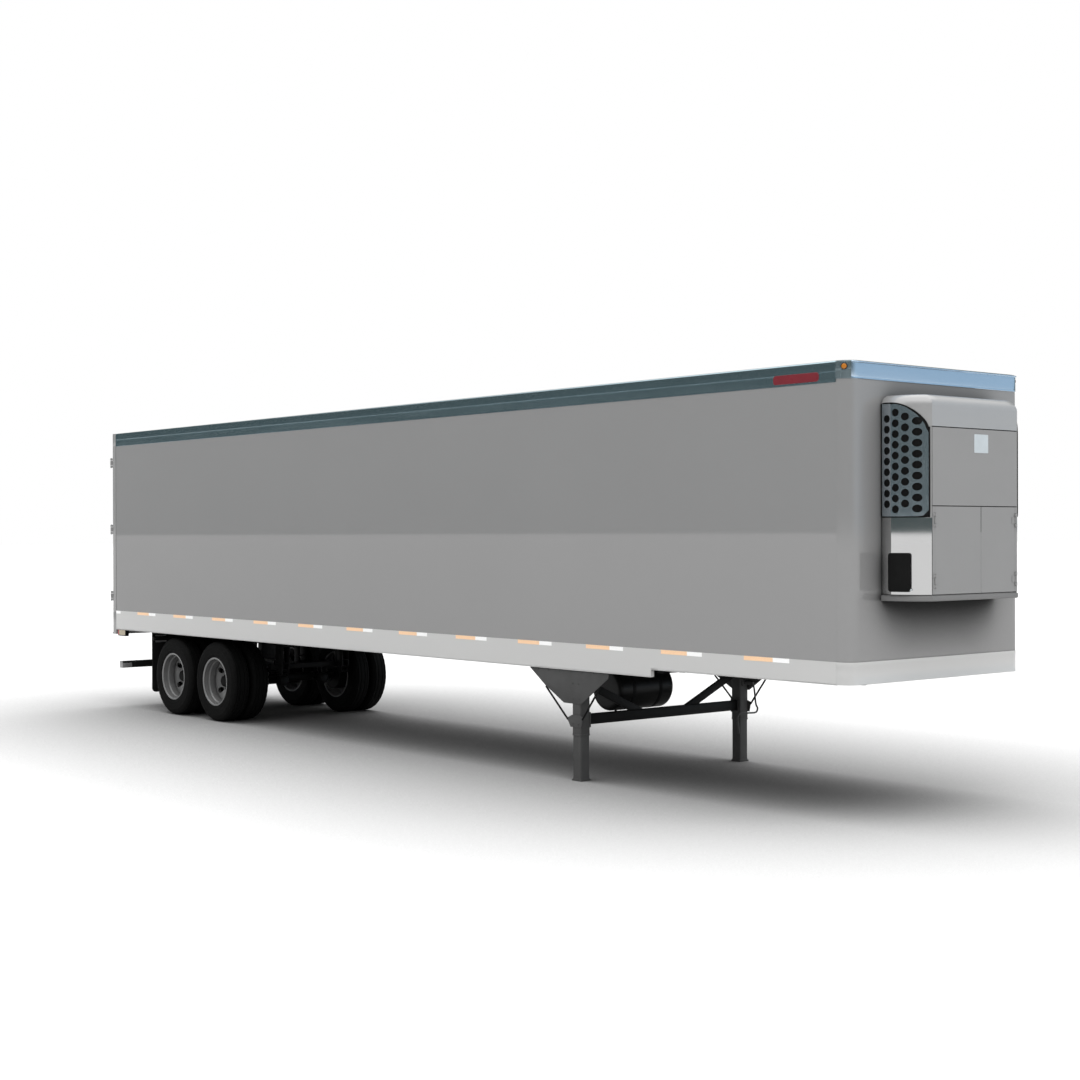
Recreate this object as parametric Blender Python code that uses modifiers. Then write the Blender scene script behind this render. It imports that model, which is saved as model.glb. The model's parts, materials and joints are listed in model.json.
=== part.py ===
"""Refrigerated box semi trailer with tandem twin wheels, landing legs and a nose-mounted cooling unit.

Metres, +X forward, +Y to the trailer's left, +Z up, wheels on z = 0. Lengths along the trailer are
written from the rear end of the side walls, and the empty "trailer_frame" moves them so that the
whole object is centred on the world's origin.
"""

import math

import bmesh
import bpy
from mathutils import Vector

GAP = 0.0003  # between two solids that touch on the real trailer
JOIN = 0.010  # how far two shapes of one solid run into each other
CUTTER_REACH = 1.0  # how far a cutter runs past what it cuts
LEFT, RIGHT = 1, -1
SIDES = (("left", LEFT), ("right", RIGHT))

# Body: measured along the side wall, across it, and up from the ground
BODY_LENGTH = 14.345
BODY_WIDTH = 2.59
BODY_TOP = 4.1365
TOP_RAIL_HEIGHT = 0.194
FRONT_RAIL_HEIGHT = 0.165  # the rail round the nose
BOTTOM_RAIL_TOP = 1.446
BOTTOM_RAIL_REAR_DEPTH = 0.280
BOTTOM_RAIL_FRONT_DEPTH = 0.205
BOTTOM_RAIL_STEP_X = 11.80
BOTTOM_RAIL_THICKNESS = 0.045
WALL_THICKNESS = 0.070
WALL_INSET = 0.004  # the skin lies this much inside the rails' faces
CORNER_RADIUS = 0.150
CORNER_STEPS = 6
ROOF_THICKNESS = 0.050
ROOF_BELOW_RAIL = 0.008
TOP_LIP = 0.012  # the front rail's drip lip stands out this much
FLOOR_TOP = 1.420
FLOOR_THICKNESS = 0.110

# Crossmembers under the floor
CROSSMEMBER_SPACING = 0.3048
CROSSMEMBER_WIDTH = 0.057
CROSSMEMBER_DEPTH = 0.105
STRINGER_WIDTH = 0.060
STRINGER_DEPTH = 0.020
CROSSMEMBER_FRONT_X = 12.20

# Rear frame, doors and their hinges
REAR_FRAME_DEPTH = 0.100
REAR_POST_WIDTH = 0.095
REAR_SILL_BOTTOM = 1.090
REAR_SILL_TOP = FLOOR_TOP
DOOR_THICKNESS = 0.075
DOOR_EDGE_GAP = 0.006
DOOR_RANGE_TOP_GAP = 0.008
HINGE_OUT = 0.040  # hinge axis behind the door's face
HINGE_SIDE = 0.003  # hinge axis outside the body's width
HINGE_PIN_RADIUS = 0.009
HINGE_KNUCKLE_RADIUS = 0.016
HINGE_END_GAP = 0.004
HINGE_FIXED_SHARE = 0.9  # length of a fixed knuckle, as a share of half the moving one's
HINGE_SIDES = 12
HINGE_COUNT = 3
HINGE_FROM_END = 0.240
HINGE_STRAP_LENGTH = 0.320
HINGE_STRAP_THICKNESS = 0.010
HINGE_STRAP_HEIGHT = 0.070
HINGE_STRAP_CLEARANCE = 0.005
LOCK_ROD_RADIUS = 0.0125
LOCK_ROD_PLACES = (0.30, 0.82)  # from the body's middle
LOCK_ROD_CLEARANCE = 0.004
LOCK_STRIP_END = 0.350
LOCK_STRIP_REACH = 0.050
LOCK_STRIP_HEIGHT = 0.060
LOCK_HANDLE_Z = 1.75
LOCK_HANDLE_HEIGHT = 0.035
LOCK_HANDLE_LENGTH = 0.240
LOCK_HANDLE_THICKNESS = 0.0125
LOCK_HANDLE_OUT = 0.009  # handle's outer face, behind the rod's middle

# Tandem wheels
AXLE_XS = (1.76, 2.97)
TYRE_RADIUS = 0.552
TYRE_WIDTH = 0.270
TWIN_SPACING = 0.300
TWIN_FROM_SIDE = 0.304  # middle of a twin wheel, inside the body's side
TYRE_BULGE_RISE = 0.080  # the widest place of the tyre's side, above the rim's flange
TYRE_SHOULDER = 0.040
TYRE_SHOULDER_IN = 0.007
TREAD_HALF_WIDTH = 0.100
RIM_RADIUS = 0.305
RIM_FLANGE_RADIUS = 0.336
RIM_FLANGE_WIDTH = 0.014
RIM_HALF_WIDTH = 0.124
RIM_THICKNESS = 0.010
RIM_WELL_OUTER = 0.043  # where the disc leaves the rim, from the rim's middle
RIM_WELL_INNER = 0.056
DISC_RADIUS = 0.215
DISC_THICKNESS = 0.012
DRUM_RADIUS = 0.205
DRUM_REACH = 0.336  # drum's inner face, inside the middle of the twin wheel
DRUM_LENGTH = 0.200
HUB_RADIUS = 0.140
HUB_CAP_RADIUS = 0.075
HUB_CAP_LENGTH = 0.050
HUB_CHAMFER = 0.010
HUB_REACH = 0.154  # hub cap's end, outside the middle of the twin wheel
SPINDLE_RADIUS = 0.042
SPINDLE_REACH = 0.024
SPINDLE_END_GAP = 0.005
WHEEL_STEPS = 24

# Suspension and bogie
AXLE_TUBE_RADIUS = 0.064
AXLE_TUBE_DRUM_GAP = 0.012
AXLE_SEAT_HALF_LENGTH = 0.070
SPRING_FROM_TWIN = 0.501  # middle of a spring, inside the middle of the twin wheel
SPRING_WIDTH = 0.076
SPRING_THICKNESS = 0.052
SPRING_BASE_Z = 0.660
HANGER_WIDTH = 0.110
HANGER_LENGTH = 0.150
HANGER_BOTTOM = 0.620
BOGIE_RAIL_WIDTH = 0.100
BOGIE_RAIL_HEIGHT = 0.150
BOGIE_REAR_X = 0.95
BOGIE_FRONT_X = 3.62
BOGIE_CROSS_LENGTH = 0.100
BOGIE_CROSS_INSET = 0.050  # from the rails' ends
BOGIE_CROSS_DROP = 0.020  # below the rails' top, and above their bottom
FRONT_BEAM_X = 3.41
FRONT_BEAM_TYRE_GAP = 0.058
FRONT_BEAM_BOTTOM = 0.632
FRONT_BEAM_HEIGHT = 0.105
FRONT_BEAM_LENGTH = 0.070
FRONT_POST_WIDTH = 0.100
CHAMBER_RADIUS = 0.078
CHAMBER_NECK_RADIUS = 0.026
CHAMBER_LENGTH = 0.150
CHAMBER_FROM_SPRING = 0.160
CHAMBER_DROP = 0.015
CHAMBER_REACH = 0.100

# Mud flaps and rear under-run guard
FLAP_CROSSMEMBER = 3  # the crossmember that holds the flaps, counted from the rear
FLAP_BOTTOM = 0.262
FLAP_FROM_SIDE = 0.127
FLAP_WIDTH = 0.528
FLAP_THICKNESS = 0.010
FLAP_CORNER = 0.060
GUARD_FROM_SIDE = 0.068
GUARD_BOTTOM = 0.574
GUARD_HEIGHT = 0.102
GUARD_DEPTH = 0.100
GUARD_REAR_X = -0.020
GUARD_POST_FROM_SPRING = 0.030
GUARD_POST_WIDTH = 0.100
GUARD_BRACE_WIDTH = 0.060
GUARD_BRACE_DEPTH = 0.070
GUARD_BRACE_RUN = 0.020  # how far the brace runs into the bar and its post
GUARD_BRACE_TOP_LENGTH = 0.080

# Landing legs
LEG_X = 10.636
LEG_FROM_SIDE = 0.093
LEG_TUBE = 0.136
LEG_TUBE_BOTTOM = 0.475
INNER_LEG = 0.126
INNER_LEG_RUN = 0.020  # how far it is seen inside the outer tube
FOOT_SIZE = 0.144
FOOT_THICKNESS = 0.018
# Side plate's outline, as forward distance from the leg and height
LEG_PLATE = (
    (-0.749, 1.151), (-0.495, 0.976), (-0.191, 0.810), (0.082, 0.809), (0.505, 1.103), (0.511, 1.130),
)
LEG_PLATE_THICKNESS = 0.008
COLLAR = ((-0.143, 0.655), (-0.085, 0.564), (0.085, 0.564), (0.107, 0.675))
LEG_ROD_RADIUS = 0.007
LEG_RODS = (((-0.487, 0.965), (-0.130, 0.640)), ((0.378, 1.002), (0.100, 0.650)))
CROSS_TUBE_BOTTOM = 0.584
CROSS_TUBE_HEIGHT = 0.112
CROSS_TUBE_DEPTH = 0.060
BRACE_FOOT_Y = 0.310
BRACE_FOOT_Z = 0.645
BRACE_TOP_Z = 1.020
BRACE_HEIGHT = 0.095
BRACE_DEPTH = 0.030
# Crank handle's centre line, as distance across from the leg and height
CRANK_X_FROM_LEG = 0.204
CRANK_ROUTE = (
    (0.000, 0.900), (0.024, 0.829), (0.050, 0.663), (0.078, 0.613), (0.050, 0.567),
    (-0.066, 0.566), (-0.202, 0.571), (-0.242, 0.541), (-0.249, 0.485), (-0.230, 0.344),
)
CRANK_RADIUS = 0.010
CRANK_SHAFT_RADIUS = 0.016

# Fuel tank behind the legs
TANK_X = 10.145
TANK_Z = 0.883
TANK_RADIUS = 0.243
TANK_Y = 0.0235  # middle of its length
TANK_HALF_LENGTH = 0.3925
TANK_SIDES = 40
TANK_STRAP_Y = 0.200
TANK_STRAP_WIDTH = 0.050
TANK_STRAP_THICKNESS = 0.006
TANK_SADDLE_REACH = 0.190  # half its length, and how far above the tank's middle it starts
TANK_BAR_HALF_LENGTH = 0.050
TANK_BAR_THICKNESS = 0.020
TANK_BAR_DROP = 0.010

# Coupler under the nose
COUPLER_REAR_X = 12.30
COUPLER_BOTTOM = 1.200
COUPLER_FROM_SIDE = 0.500
COUPLER_FRONT = 0.300  # behind the nose
KINGPIN_SETBACK = 0.914
KINGPIN_RADIUS = 0.0254
KINGPIN_FLANGE_RADIUS = 0.0358
KINGPIN_NECK_RADIUS = 0.0365
KINGPIN_LENGTH = 0.084
# Kingpin's heights above its lower end: lower flange, start and end of the waist
KINGPIN_FLANGE_TOP = 0.020
KINGPIN_WAIST = (0.024, 0.058)
KINGPIN_NECK_START = 0.062

# Cooling unit on the nose
UNIT_BOTTOM = 1.984
UNIT_TOP = 3.838
UNIT_HALF_WIDTH = 0.838
UNIT_DEPTH = 0.3985
UNIT_FLAT_HALF_WIDTH = UNIT_HALF_WIDTH - 0.202  # the front's flat part
UNIT_SIDE_RUN = 0.015
UNIT_TOP_RADIUS = 0.110
UNIT_WALL = 0.025
UNIT_BASE_HEIGHT = 0.055
UNIT_BASE_LIP = 0.012
UNIT_DOOR_TOP = 2.838
UNIT_DOOR_SPLIT_Y = 0.079
UNIT_DOOR_THICKNESS = 0.025
UNIT_DOOR_GAP = 0.006
UNIT_DOOR_FRAME = 0.030
UNIT_CORNER_STEPS = 12
UNIT_TOP_STEPS = 5
UNIT_HINGE_RADIUS = 0.008
UNIT_PIN_RADIUS = 0.004
UNIT_HINGE_HEIGHT = 0.060
UNIT_HINGE_LEAF = 0.050
UNIT_HINGE_FROM_END = 0.120
UNIT_HINGE_OUT = 0.012
GRILLE_BOTTOM = 2.745
GRILLE_TOP = 3.755
GRILLE_STAND = 0.012
CONTROL_STEPS = (2, 7)  # where it starts and ends on the rounded corner
CONTROL_DEPTH = 0.060
CONTROL_BOTTOM = 2.068
CONTROL_TOP = 2.420
ENGINE_SIZE = (0.25, 0.62, 0.46)
ENGINE_FROM_WALL = 0.050

# Marker lamps
CORNER_LAMP_LENGTH = 0.250
CORNER_LAMP_HEIGHT = 0.098
CORNER_LAMP_DEPTH = 0.060
CORNER_LAMP_X = 0.055

# Places worked out from the sizes above
HALF_WIDTH = BODY_WIDTH / 2
TWIN_MIDDLE_Y = HALF_WIDTH - TWIN_FROM_SIDE
SPRING_Y = TWIN_MIDDLE_Y - SPRING_FROM_TWIN
TYRE_INNER_Y = TWIN_MIDDLE_Y - TWIN_SPACING / 2 - TYRE_WIDTH / 2
FRONT_BEAM_HALF_LENGTH = TYRE_INNER_Y - FRONT_BEAM_TYRE_GAP
DRUM_INNER_Y = TWIN_MIDDLE_Y - DRUM_REACH
DRUM_OUTER_Y = DRUM_INNER_Y + DRUM_LENGTH
HUB_END_Y = TWIN_MIDDLE_Y + HUB_REACH
SPINDLE_END_Y = TWIN_MIDDLE_Y + SPINDLE_REACH
AXLE_TUBE_HALF_LENGTH = DRUM_INNER_Y - AXLE_TUBE_DRUM_GAP
FLAP_OUTER_Y = HALF_WIDTH - FLAP_FROM_SIDE
FLAP_INNER_Y = FLAP_OUTER_Y - FLAP_WIDTH
GUARD_HALF_LENGTH = HALF_WIDTH - GUARD_FROM_SIDE
LEG_Y = HALF_WIDTH - LEG_FROM_SIDE
COUPLER_HALF_WIDTH = HALF_WIDTH - COUPLER_FROM_SIDE
TOP_RAIL_BOTTOM = BODY_TOP - TOP_RAIL_HEIGHT
FRONT_RAIL_BOTTOM = BODY_TOP - FRONT_RAIL_HEIGHT
RAIL_REAR_BOTTOM = BOTTOM_RAIL_TOP - BOTTOM_RAIL_REAR_DEPTH
RAIL_FRONT_BOTTOM = BOTTOM_RAIL_TOP - BOTTOM_RAIL_FRONT_DEPTH
SIDE_FRONT_X = BODY_LENGTH - CORNER_RADIUS
CROSSMEMBER_TOP = FLOOR_TOP - FLOOR_THICKNESS
CROSSMEMBER_BOTTOM = CROSSMEMBER_TOP - CROSSMEMBER_DEPTH
BOGIE_RAIL_TOP = CROSSMEMBER_BOTTOM - GAP
BOGIE_RAIL_BOTTOM = BOGIE_RAIL_TOP - BOGIE_RAIL_HEIGHT
HINGE_X = -REAR_FRAME_DEPTH - HINGE_OUT
HINGE_Y = HALF_WIDTH + HINGE_SIDE
REAR_END = HINGE_X - HINGE_KNUCKLE_RADIUS
FRONT_END = BODY_LENGTH + UNIT_DEPTH + UNIT_HINGE_OUT + UNIT_HINGE_RADIUS
MIDDLE_X = (REAR_END + FRONT_END) / 2
DOOR_BOTTOM = REAR_SILL_TOP + DOOR_RANGE_TOP_GAP
DOOR_TOP = TOP_RAIL_BOTTOM - DOOR_RANGE_TOP_GAP
AXLE_Z = TYRE_RADIUS

# Material: colour, roughness, metallic
FINISHES = {
    "side_skin": ((0.52, 0.52, 0.52), 0.35, 0.2),
    "bottom_rail": ((0.76, 0.76, 0.76), 0.40, 0.2),
    "side_top_rail": ((0.20, 0.27, 0.31), 0.35, 0.4),
    "front_top_rail": ((0.45, 0.58, 0.72), 0.30, 0.3),
    "rear_frame": ((0.30, 0.31, 0.32), 0.45, 0.4),
    "floor": ((0.35, 0.35, 0.34), 0.60, 0.3),
    "chassis": ((0.05, 0.05, 0.05), 0.60, 0.2),
    "leg_steel": ((0.16, 0.16, 0.16), 0.55, 0.3),
    "tyre": ((0.025, 0.025, 0.025), 0.85, 0.0),
    "rim": ((0.60, 0.60, 0.60), 0.35, 0.7),
    "rubber": ((0.02, 0.02, 0.02), 0.90, 0.0),
    "unit_grey": ((0.55, 0.55, 0.55), 0.40, 0.1),
    "grille": ((0.28, 0.36, 0.37), 0.45, 0.2),
    "black": ((0.01, 0.01, 0.01), 0.50, 0.0),
    "engine": ((0.25, 0.25, 0.25), 0.60, 0.5),
    "amber": ((0.85, 0.45, 0.05), 0.25, 0.0),
}


def material(name):
    found = bpy.data.materials.get(name)
    if found:
        return found
    colour, roughness, metallic = FINISHES[name]
    found = bpy.data.materials.new(name)
    found.use_nodes = True
    shader = found.node_tree.nodes["Principled BSDF"]
    shader.inputs["Base Color"].default_value = (*colour, 1)
    shader.inputs["Roughness"].default_value = roughness
    shader.inputs["Metallic"].default_value = metallic
    return found


def clear_scene():
    for obj in list(bpy.data.objects):
        bpy.data.objects.remove(obj, do_unlink=True)


def empty(name, location, parent=None):
    pivot = bpy.data.objects.new(name, None)
    pivot.location = location
    pivot.parent = parent
    bpy.context.scene.collection.objects.link(pivot)
    return pivot


def from_bmesh(name, mesh_build, location=(0, 0, 0)):
    data = bpy.data.meshes.new(name)
    bmesh.ops.recalc_face_normals(mesh_build, faces=mesh_build.faces)
    mesh_build.to_mesh(data)
    mesh_build.free()
    obj = bpy.data.objects.new(name, data)
    obj.location = location
    bpy.context.scene.collection.objects.link(obj)
    return obj


def box(name, low, high):
    low, high = Vector(low), Vector(high)
    built = bmesh.new()
    bmesh.ops.create_cube(built, size=1)
    bmesh.ops.scale(built, vec=high - low, verts=built.verts)
    return from_bmesh(name, built, (low + high) / 2)


def cylinder(name, start, end, radius, sides=24):
    start, end = Vector(start), Vector(end)
    run = end - start
    built = bmesh.new()
    bmesh.ops.create_cone(
        built, cap_ends=True, segments=sides, depth=run.length, radius1=radius, radius2=radius
    )
    turn = run.to_track_quat("Z", "Y").to_matrix().to_4x4()
    bmesh.ops.transform(built, matrix=turn, verts=built.verts)
    return from_bmesh(name, built, (start + end) / 2)


def prism(name, outline, low, high, across="Z"):
    """A flat outline pushed out along one axis.

    Its points are (x, y), or (x, z) across Y, or (y, z) across X.
    """
    places = {
        "Z": lambda a, b: (a, b, low),
        "Y": lambda a, b: (a, low, b),
        "X": lambda a, b: (low, a, b),
    }[across]
    push = {"Z": (0, 0, 1), "Y": (0, 1, 0), "X": (1, 0, 0)}[across]
    built = bmesh.new()
    face = built.faces.new([built.verts.new(places(a, b)) for a, b in outline])
    grown = bmesh.ops.extrude_face_region(built, geom=[face])
    moved = [v for v in grown["geom"] if isinstance(v, bmesh.types.BMVert)]
    bmesh.ops.translate(built, vec=Vector(push) * (high - low), verts=moved)
    return from_bmesh(name, built)


def turned(name, profile, steps, location=(0, 0, 0), rotation=(0, 0, 0)):
    """A loop of (radius, height) points turned about Z.

    A side of the loop that lies on the axis is left out.
    """
    data = bpy.data.meshes.new(name)
    sides = [(i, (i + 1) % len(profile)) for i in range(len(profile))]
    sides = [(a, b) for a, b in sides if profile[a][0] or profile[b][0]]
    data.from_pydata([(r, 0, h) for r, h in profile], sides, [])
    obj = bpy.data.objects.new(name, data)
    bpy.context.scene.collection.objects.link(obj)
    screw = obj.modifiers.new("turn", "SCREW")
    screw.steps = screw.render_steps = steps
    screw.use_merge_vertices = True
    screw.merge_threshold = 0.0001
    solid = apply_modifiers(obj)
    solid.location = location
    solid.rotation_euler = rotation
    return solid


def lofted(name, rings):
    """A solid through rings of as many points each, lowest ring first."""
    built = bmesh.new()
    rows = [[built.verts.new(point) for point in ring] for ring in rings]
    for lower, upper in zip(rows, rows[1:]):
        for i in range(len(lower)):
            j = (i + 1) % len(lower)
            built.faces.new((lower[i], lower[j], upper[j]))
            built.faces.new((lower[i], upper[j], upper[i]))
    built.faces.new(rows[0][::-1])
    built.faces.new(rows[-1])
    return from_bmesh(name, built)


def rod(name, points, radius):
    """A bent bar with round section through the points."""
    curve = bpy.data.curves.new(name, "CURVE")
    curve.dimensions = "3D"
    curve.bevel_depth = radius
    curve.bevel_resolution = 2
    curve.use_fill_caps = True
    spline = curve.splines.new("POLY")
    spline.points.add(len(points) - 1)
    for point, place in zip(spline.points, points):
        point.co = (*place, 1)
    obj = bpy.data.objects.new(name, curve)
    bpy.context.scene.collection.objects.link(obj)
    return apply_modifiers(obj)


def apply_modifiers(obj):
    """The object as a plain welded mesh that faces outwards."""
    name = obj.name
    bpy.context.view_layer.update()
    graph = bpy.context.evaluated_depsgraph_get()
    data = bpy.data.meshes.new_from_object(obj.evaluated_get(graph))
    place = obj.matrix_world.copy()
    bpy.data.objects.remove(obj, do_unlink=True)
    built = bmesh.new()
    built.from_mesh(data)
    bpy.data.meshes.remove(data)
    bmesh.ops.remove_doubles(built, verts=built.verts, dist=1e-5)
    plain = from_bmesh(name, built)
    plain.matrix_world = place
    if signed_volume(plain.data) < 0:
        plain.data.flip_normals()
    return plain


def signed_volume(data):
    built = bmesh.new()
    built.from_mesh(data)
    volume = built.calc_volume(signed=True)
    built.free()
    return volume


def boolean(base, others, operation):
    """The base with the others joined to it or cut from it, one after another."""
    for other in others:
        change = base.modifiers.new(other.name, "BOOLEAN")
        change.operation = operation
        change.object = other
        change.solver = "EXACT"
    result = apply_modifiers(base)
    for other in others:
        bpy.data.objects.remove(other, do_unlink=True)
    return result


def join(base, *others):
    return boolean(base, others, "UNION")


def cut(base, *others):
    return boolean(base, others, "DIFFERENCE")


def finish(obj, finish_name, parent):
    """Gives a finished piece its colour and hangs it from its parent, where it already is."""
    obj.data.materials.clear()
    obj.data.materials.append(material(finish_name))
    obj.parent = parent
    pivot = Vector()
    carrier = parent
    while carrier and carrier.name != "trailer_frame":
        pivot += carrier.location
        carrier = carrier.parent
    obj.location -= pivot
    return obj


def arc(centre, radius, start, end, steps):
    """Points on a circle from one angle to another, in degrees."""
    for i in range(steps + 1):
        angle = math.radians(start + (end - start) * i / steps)
        yield (centre[0] + radius * math.cos(angle), centre[1] + radius * math.sin(angle))


def nose_outline(inset, rear_x, depth):
    """The body's plan round its nose, as a U of the given depth, inset from the rails' faces."""
    half = HALF_WIDTH - inset
    front = BODY_LENGTH - inset
    radius = min(CORNER_RADIUS - inset, front - rear_x)
    inner = max(radius - depth, 0.01)
    outer = [(rear_x, -half)]
    outer += arc((front - radius, -half + radius), radius, -90, 0, CORNER_STEPS)
    outer += arc((front - radius, half - radius), radius, 0, 90, CORNER_STEPS)
    outer += [(rear_x, half), (rear_x, half - depth)]
    outer += arc((front - depth - inner, half - depth - inner), inner, 90, 0, CORNER_STEPS)
    outer += arc((front - depth - inner, -half + depth + inner), inner, 0, -90, CORNER_STEPS)
    return outer + [(rear_x, -half + depth)]


def inner_outline(inset):
    """The plan of a panel that fills the body inside its walls or rails."""
    half = HALF_WIDTH - inset
    radius = CORNER_RADIUS - inset
    corner_x = BODY_LENGTH - inset - radius
    outline = [(0, -half)] + list(arc((corner_x, -half + radius), radius, -90, 0, CORNER_STEPS))
    return outline + list(arc((corner_x, half - radius), radius, 0, 90, CORNER_STEPS)) + [(0, half)]


def build_body(frame):
    wall_bottom = BOTTOM_RAIL_TOP + GAP
    wall_top = TOP_RAIL_BOTTOM - GAP
    for word, side in SIDES:
        outer = side * (HALF_WIDTH - WALL_INSET)
        inner = outer - side * WALL_THICKNESS
        low, high = sorted((outer, inner))
        wall = box("side_wall_" + word, (0, low, wall_bottom), (SIDE_FRONT_X - GAP, high, wall_top))
        finish(wall, "side_skin", frame)

        low, high = sorted((side * HALF_WIDTH, side * (HALF_WIDTH - WALL_THICKNESS)))
        rail = box("top_rail_" + word, (0, low, TOP_RAIL_BOTTOM), (SIDE_FRONT_X - GAP, high, BODY_TOP))
        finish(rail, "side_top_rail", frame)

        outline = (
            (0, RAIL_REAR_BOTTOM), (BOTTOM_RAIL_STEP_X, RAIL_REAR_BOTTOM),
            (BOTTOM_RAIL_STEP_X, RAIL_FRONT_BOTTOM), (SIDE_FRONT_X - GAP, RAIL_FRONT_BOTTOM),
            (SIDE_FRONT_X - GAP, BOTTOM_RAIL_TOP), (0, BOTTOM_RAIL_TOP),
        )
        low, high = sorted((side * HALF_WIDTH, side * (HALF_WIDTH - BOTTOM_RAIL_THICKNESS)))
        finish(prism("bottom_rail_" + word, outline, low, high, "Y"), "bottom_rail", frame)

    front = nose_outline(WALL_INSET, SIDE_FRONT_X, WALL_THICKNESS)
    finish(prism("front_wall", front, wall_bottom, FRONT_RAIL_BOTTOM - GAP), "side_skin", frame)
    front = nose_outline(0, SIDE_FRONT_X, WALL_THICKNESS)
    lip = nose_outline(-TOP_LIP, SIDE_FRONT_X + JOIN, WALL_THICKNESS / 2)
    rail = prism("top_rail_front", front, FRONT_RAIL_BOTTOM, BODY_TOP)
    lip = prism("lip", lip, BODY_TOP - 2 * TOP_LIP, BODY_TOP - TOP_LIP)
    finish(join(rail, lip), "front_top_rail", frame)
    front = nose_outline(0, SIDE_FRONT_X, BOTTOM_RAIL_THICKNESS)
    finish(prism("bottom_rail_front", front, RAIL_FRONT_BOTTOM, BOTTOM_RAIL_TOP), "bottom_rail", frame)

    roof_top = BODY_TOP - ROOF_BELOW_RAIL
    roof = prism("roof", inner_outline(WALL_THICKNESS + GAP), roof_top - ROOF_THICKNESS, roof_top)
    finish(roof, "side_skin", frame)
    outline = inner_outline(BOTTOM_RAIL_THICKNESS + GAP)
    finish(prism("floor", outline, CROSSMEMBER_TOP + GAP, FLOOR_TOP), "floor", frame)


def build_crossmembers(frame):
    """A ladder: one crossmember every foot, joined by two flat stringers under the floor."""
    inside = HALF_WIDTH - BOTTOM_RAIL_THICKNESS - GAP
    first = CROSSMEMBER_SPACING
    count = int((CROSSMEMBER_FRONT_X - first) / CROSSMEMBER_SPACING) + 1
    last = first + (count - 1) * CROSSMEMBER_SPACING
    bars = []
    for i in range(count):
        x = first + i * CROSSMEMBER_SPACING
        low = (x - CROSSMEMBER_WIDTH / 2, -inside, CROSSMEMBER_BOTTOM)
        bars.append(box("bar", low, (x + CROSSMEMBER_WIDTH / 2, inside, CROSSMEMBER_TOP)))
    strips = []
    for side in (LEFT, RIGHT):
        low = (first, side * SPRING_Y - STRINGER_WIDTH / 2, CROSSMEMBER_BOTTOM + STRINGER_DEPTH)
        high = (last, side * SPRING_Y + STRINGER_WIDTH / 2, CROSSMEMBER_BOTTOM + 2 * STRINGER_DEPTH)
        strips.append(box("strip", low, high))
    ladder = join(bars[0], *bars[1:], *strips)
    ladder.name = "crossmembers"
    finish(ladder, "chassis", frame)


def build_rear_frame(frame):
    rear, front = -REAR_FRAME_DEPTH, -GAP
    whole = box("rear_frame", (rear, -HALF_WIDTH, REAR_SILL_BOTTOM), (front, HALF_WIDTH, BODY_TOP))
    opening = HALF_WIDTH - REAR_POST_WIDTH
    low = (rear - CUTTER_REACH, -opening, REAR_SILL_TOP)
    hole = box("hole", low, (front + CUTTER_REACH, opening, TOP_RAIL_BOTTOM))
    ring = cut(whole, hole)
    pieces = []
    for _, side in SIDES:
        ear = sorted((side * (HINGE_Y - HINGE_PIN_RADIUS), side * (HALF_WIDTH - REAR_POST_WIDTH / 4)))
        for z in hinge_heights():
            knuckles, spans = hinge_fixed(
                HINGE_X, side * HINGE_Y, z, HINGE_STRAP_HEIGHT / 2, HINGE_KNUCKLE_RADIUS, HINGE_PIN_RADIUS
            )
            pieces += knuckles
            for low, high in spans:
                start = (HINGE_X - HINGE_PIN_RADIUS / 2, ear[0], low)
                pieces.append(box("ear", start, (rear + JOIN, ear[1], high)))
    finish(join(ring, *pieces), "rear_frame", frame)


def hinge_fixed(x, y, z, half, knuckle_radius, pin_radius):
    """The pin of a hinge and the two knuckles that hold it, above and below the moving knuckle."""
    start = half + HINGE_END_GAP
    end = start + half * HINGE_FIXED_SHARE
    pieces = [cylinder("pin", (x, y, z - end), (x, y, z + end), pin_radius, sides=HINGE_SIDES)]
    for low, high in ((-end - JOIN / 4, -start), (start, end + JOIN / 4)):
        ends = ((x, y, z + low), (x, y, z + high))
        pieces.append(cylinder("knuckle", *ends, knuckle_radius, sides=HINGE_SIDES))
    return pieces, ((z - end, z - start), (z + start, z + end))


def hinge_hole(x, y, z, half, pin_radius):
    """The bore round a hinge's pin. Its flats clear the pin's corners as the hinge turns."""
    radius = (pin_radius + GAP) / math.cos(math.pi / HINGE_SIDES)
    return cylinder("hole", (x, y, z - half - JOIN), (x, y, z + half + JOIN), radius, sides=HINGE_SIDES)


def hinge_heights():
    low = DOOR_BOTTOM + HINGE_FROM_END
    high = DOOR_TOP - HINGE_FROM_END
    return [low + (high - low) * i / (HINGE_COUNT - 1) for i in range(HINGE_COUNT)]


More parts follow.
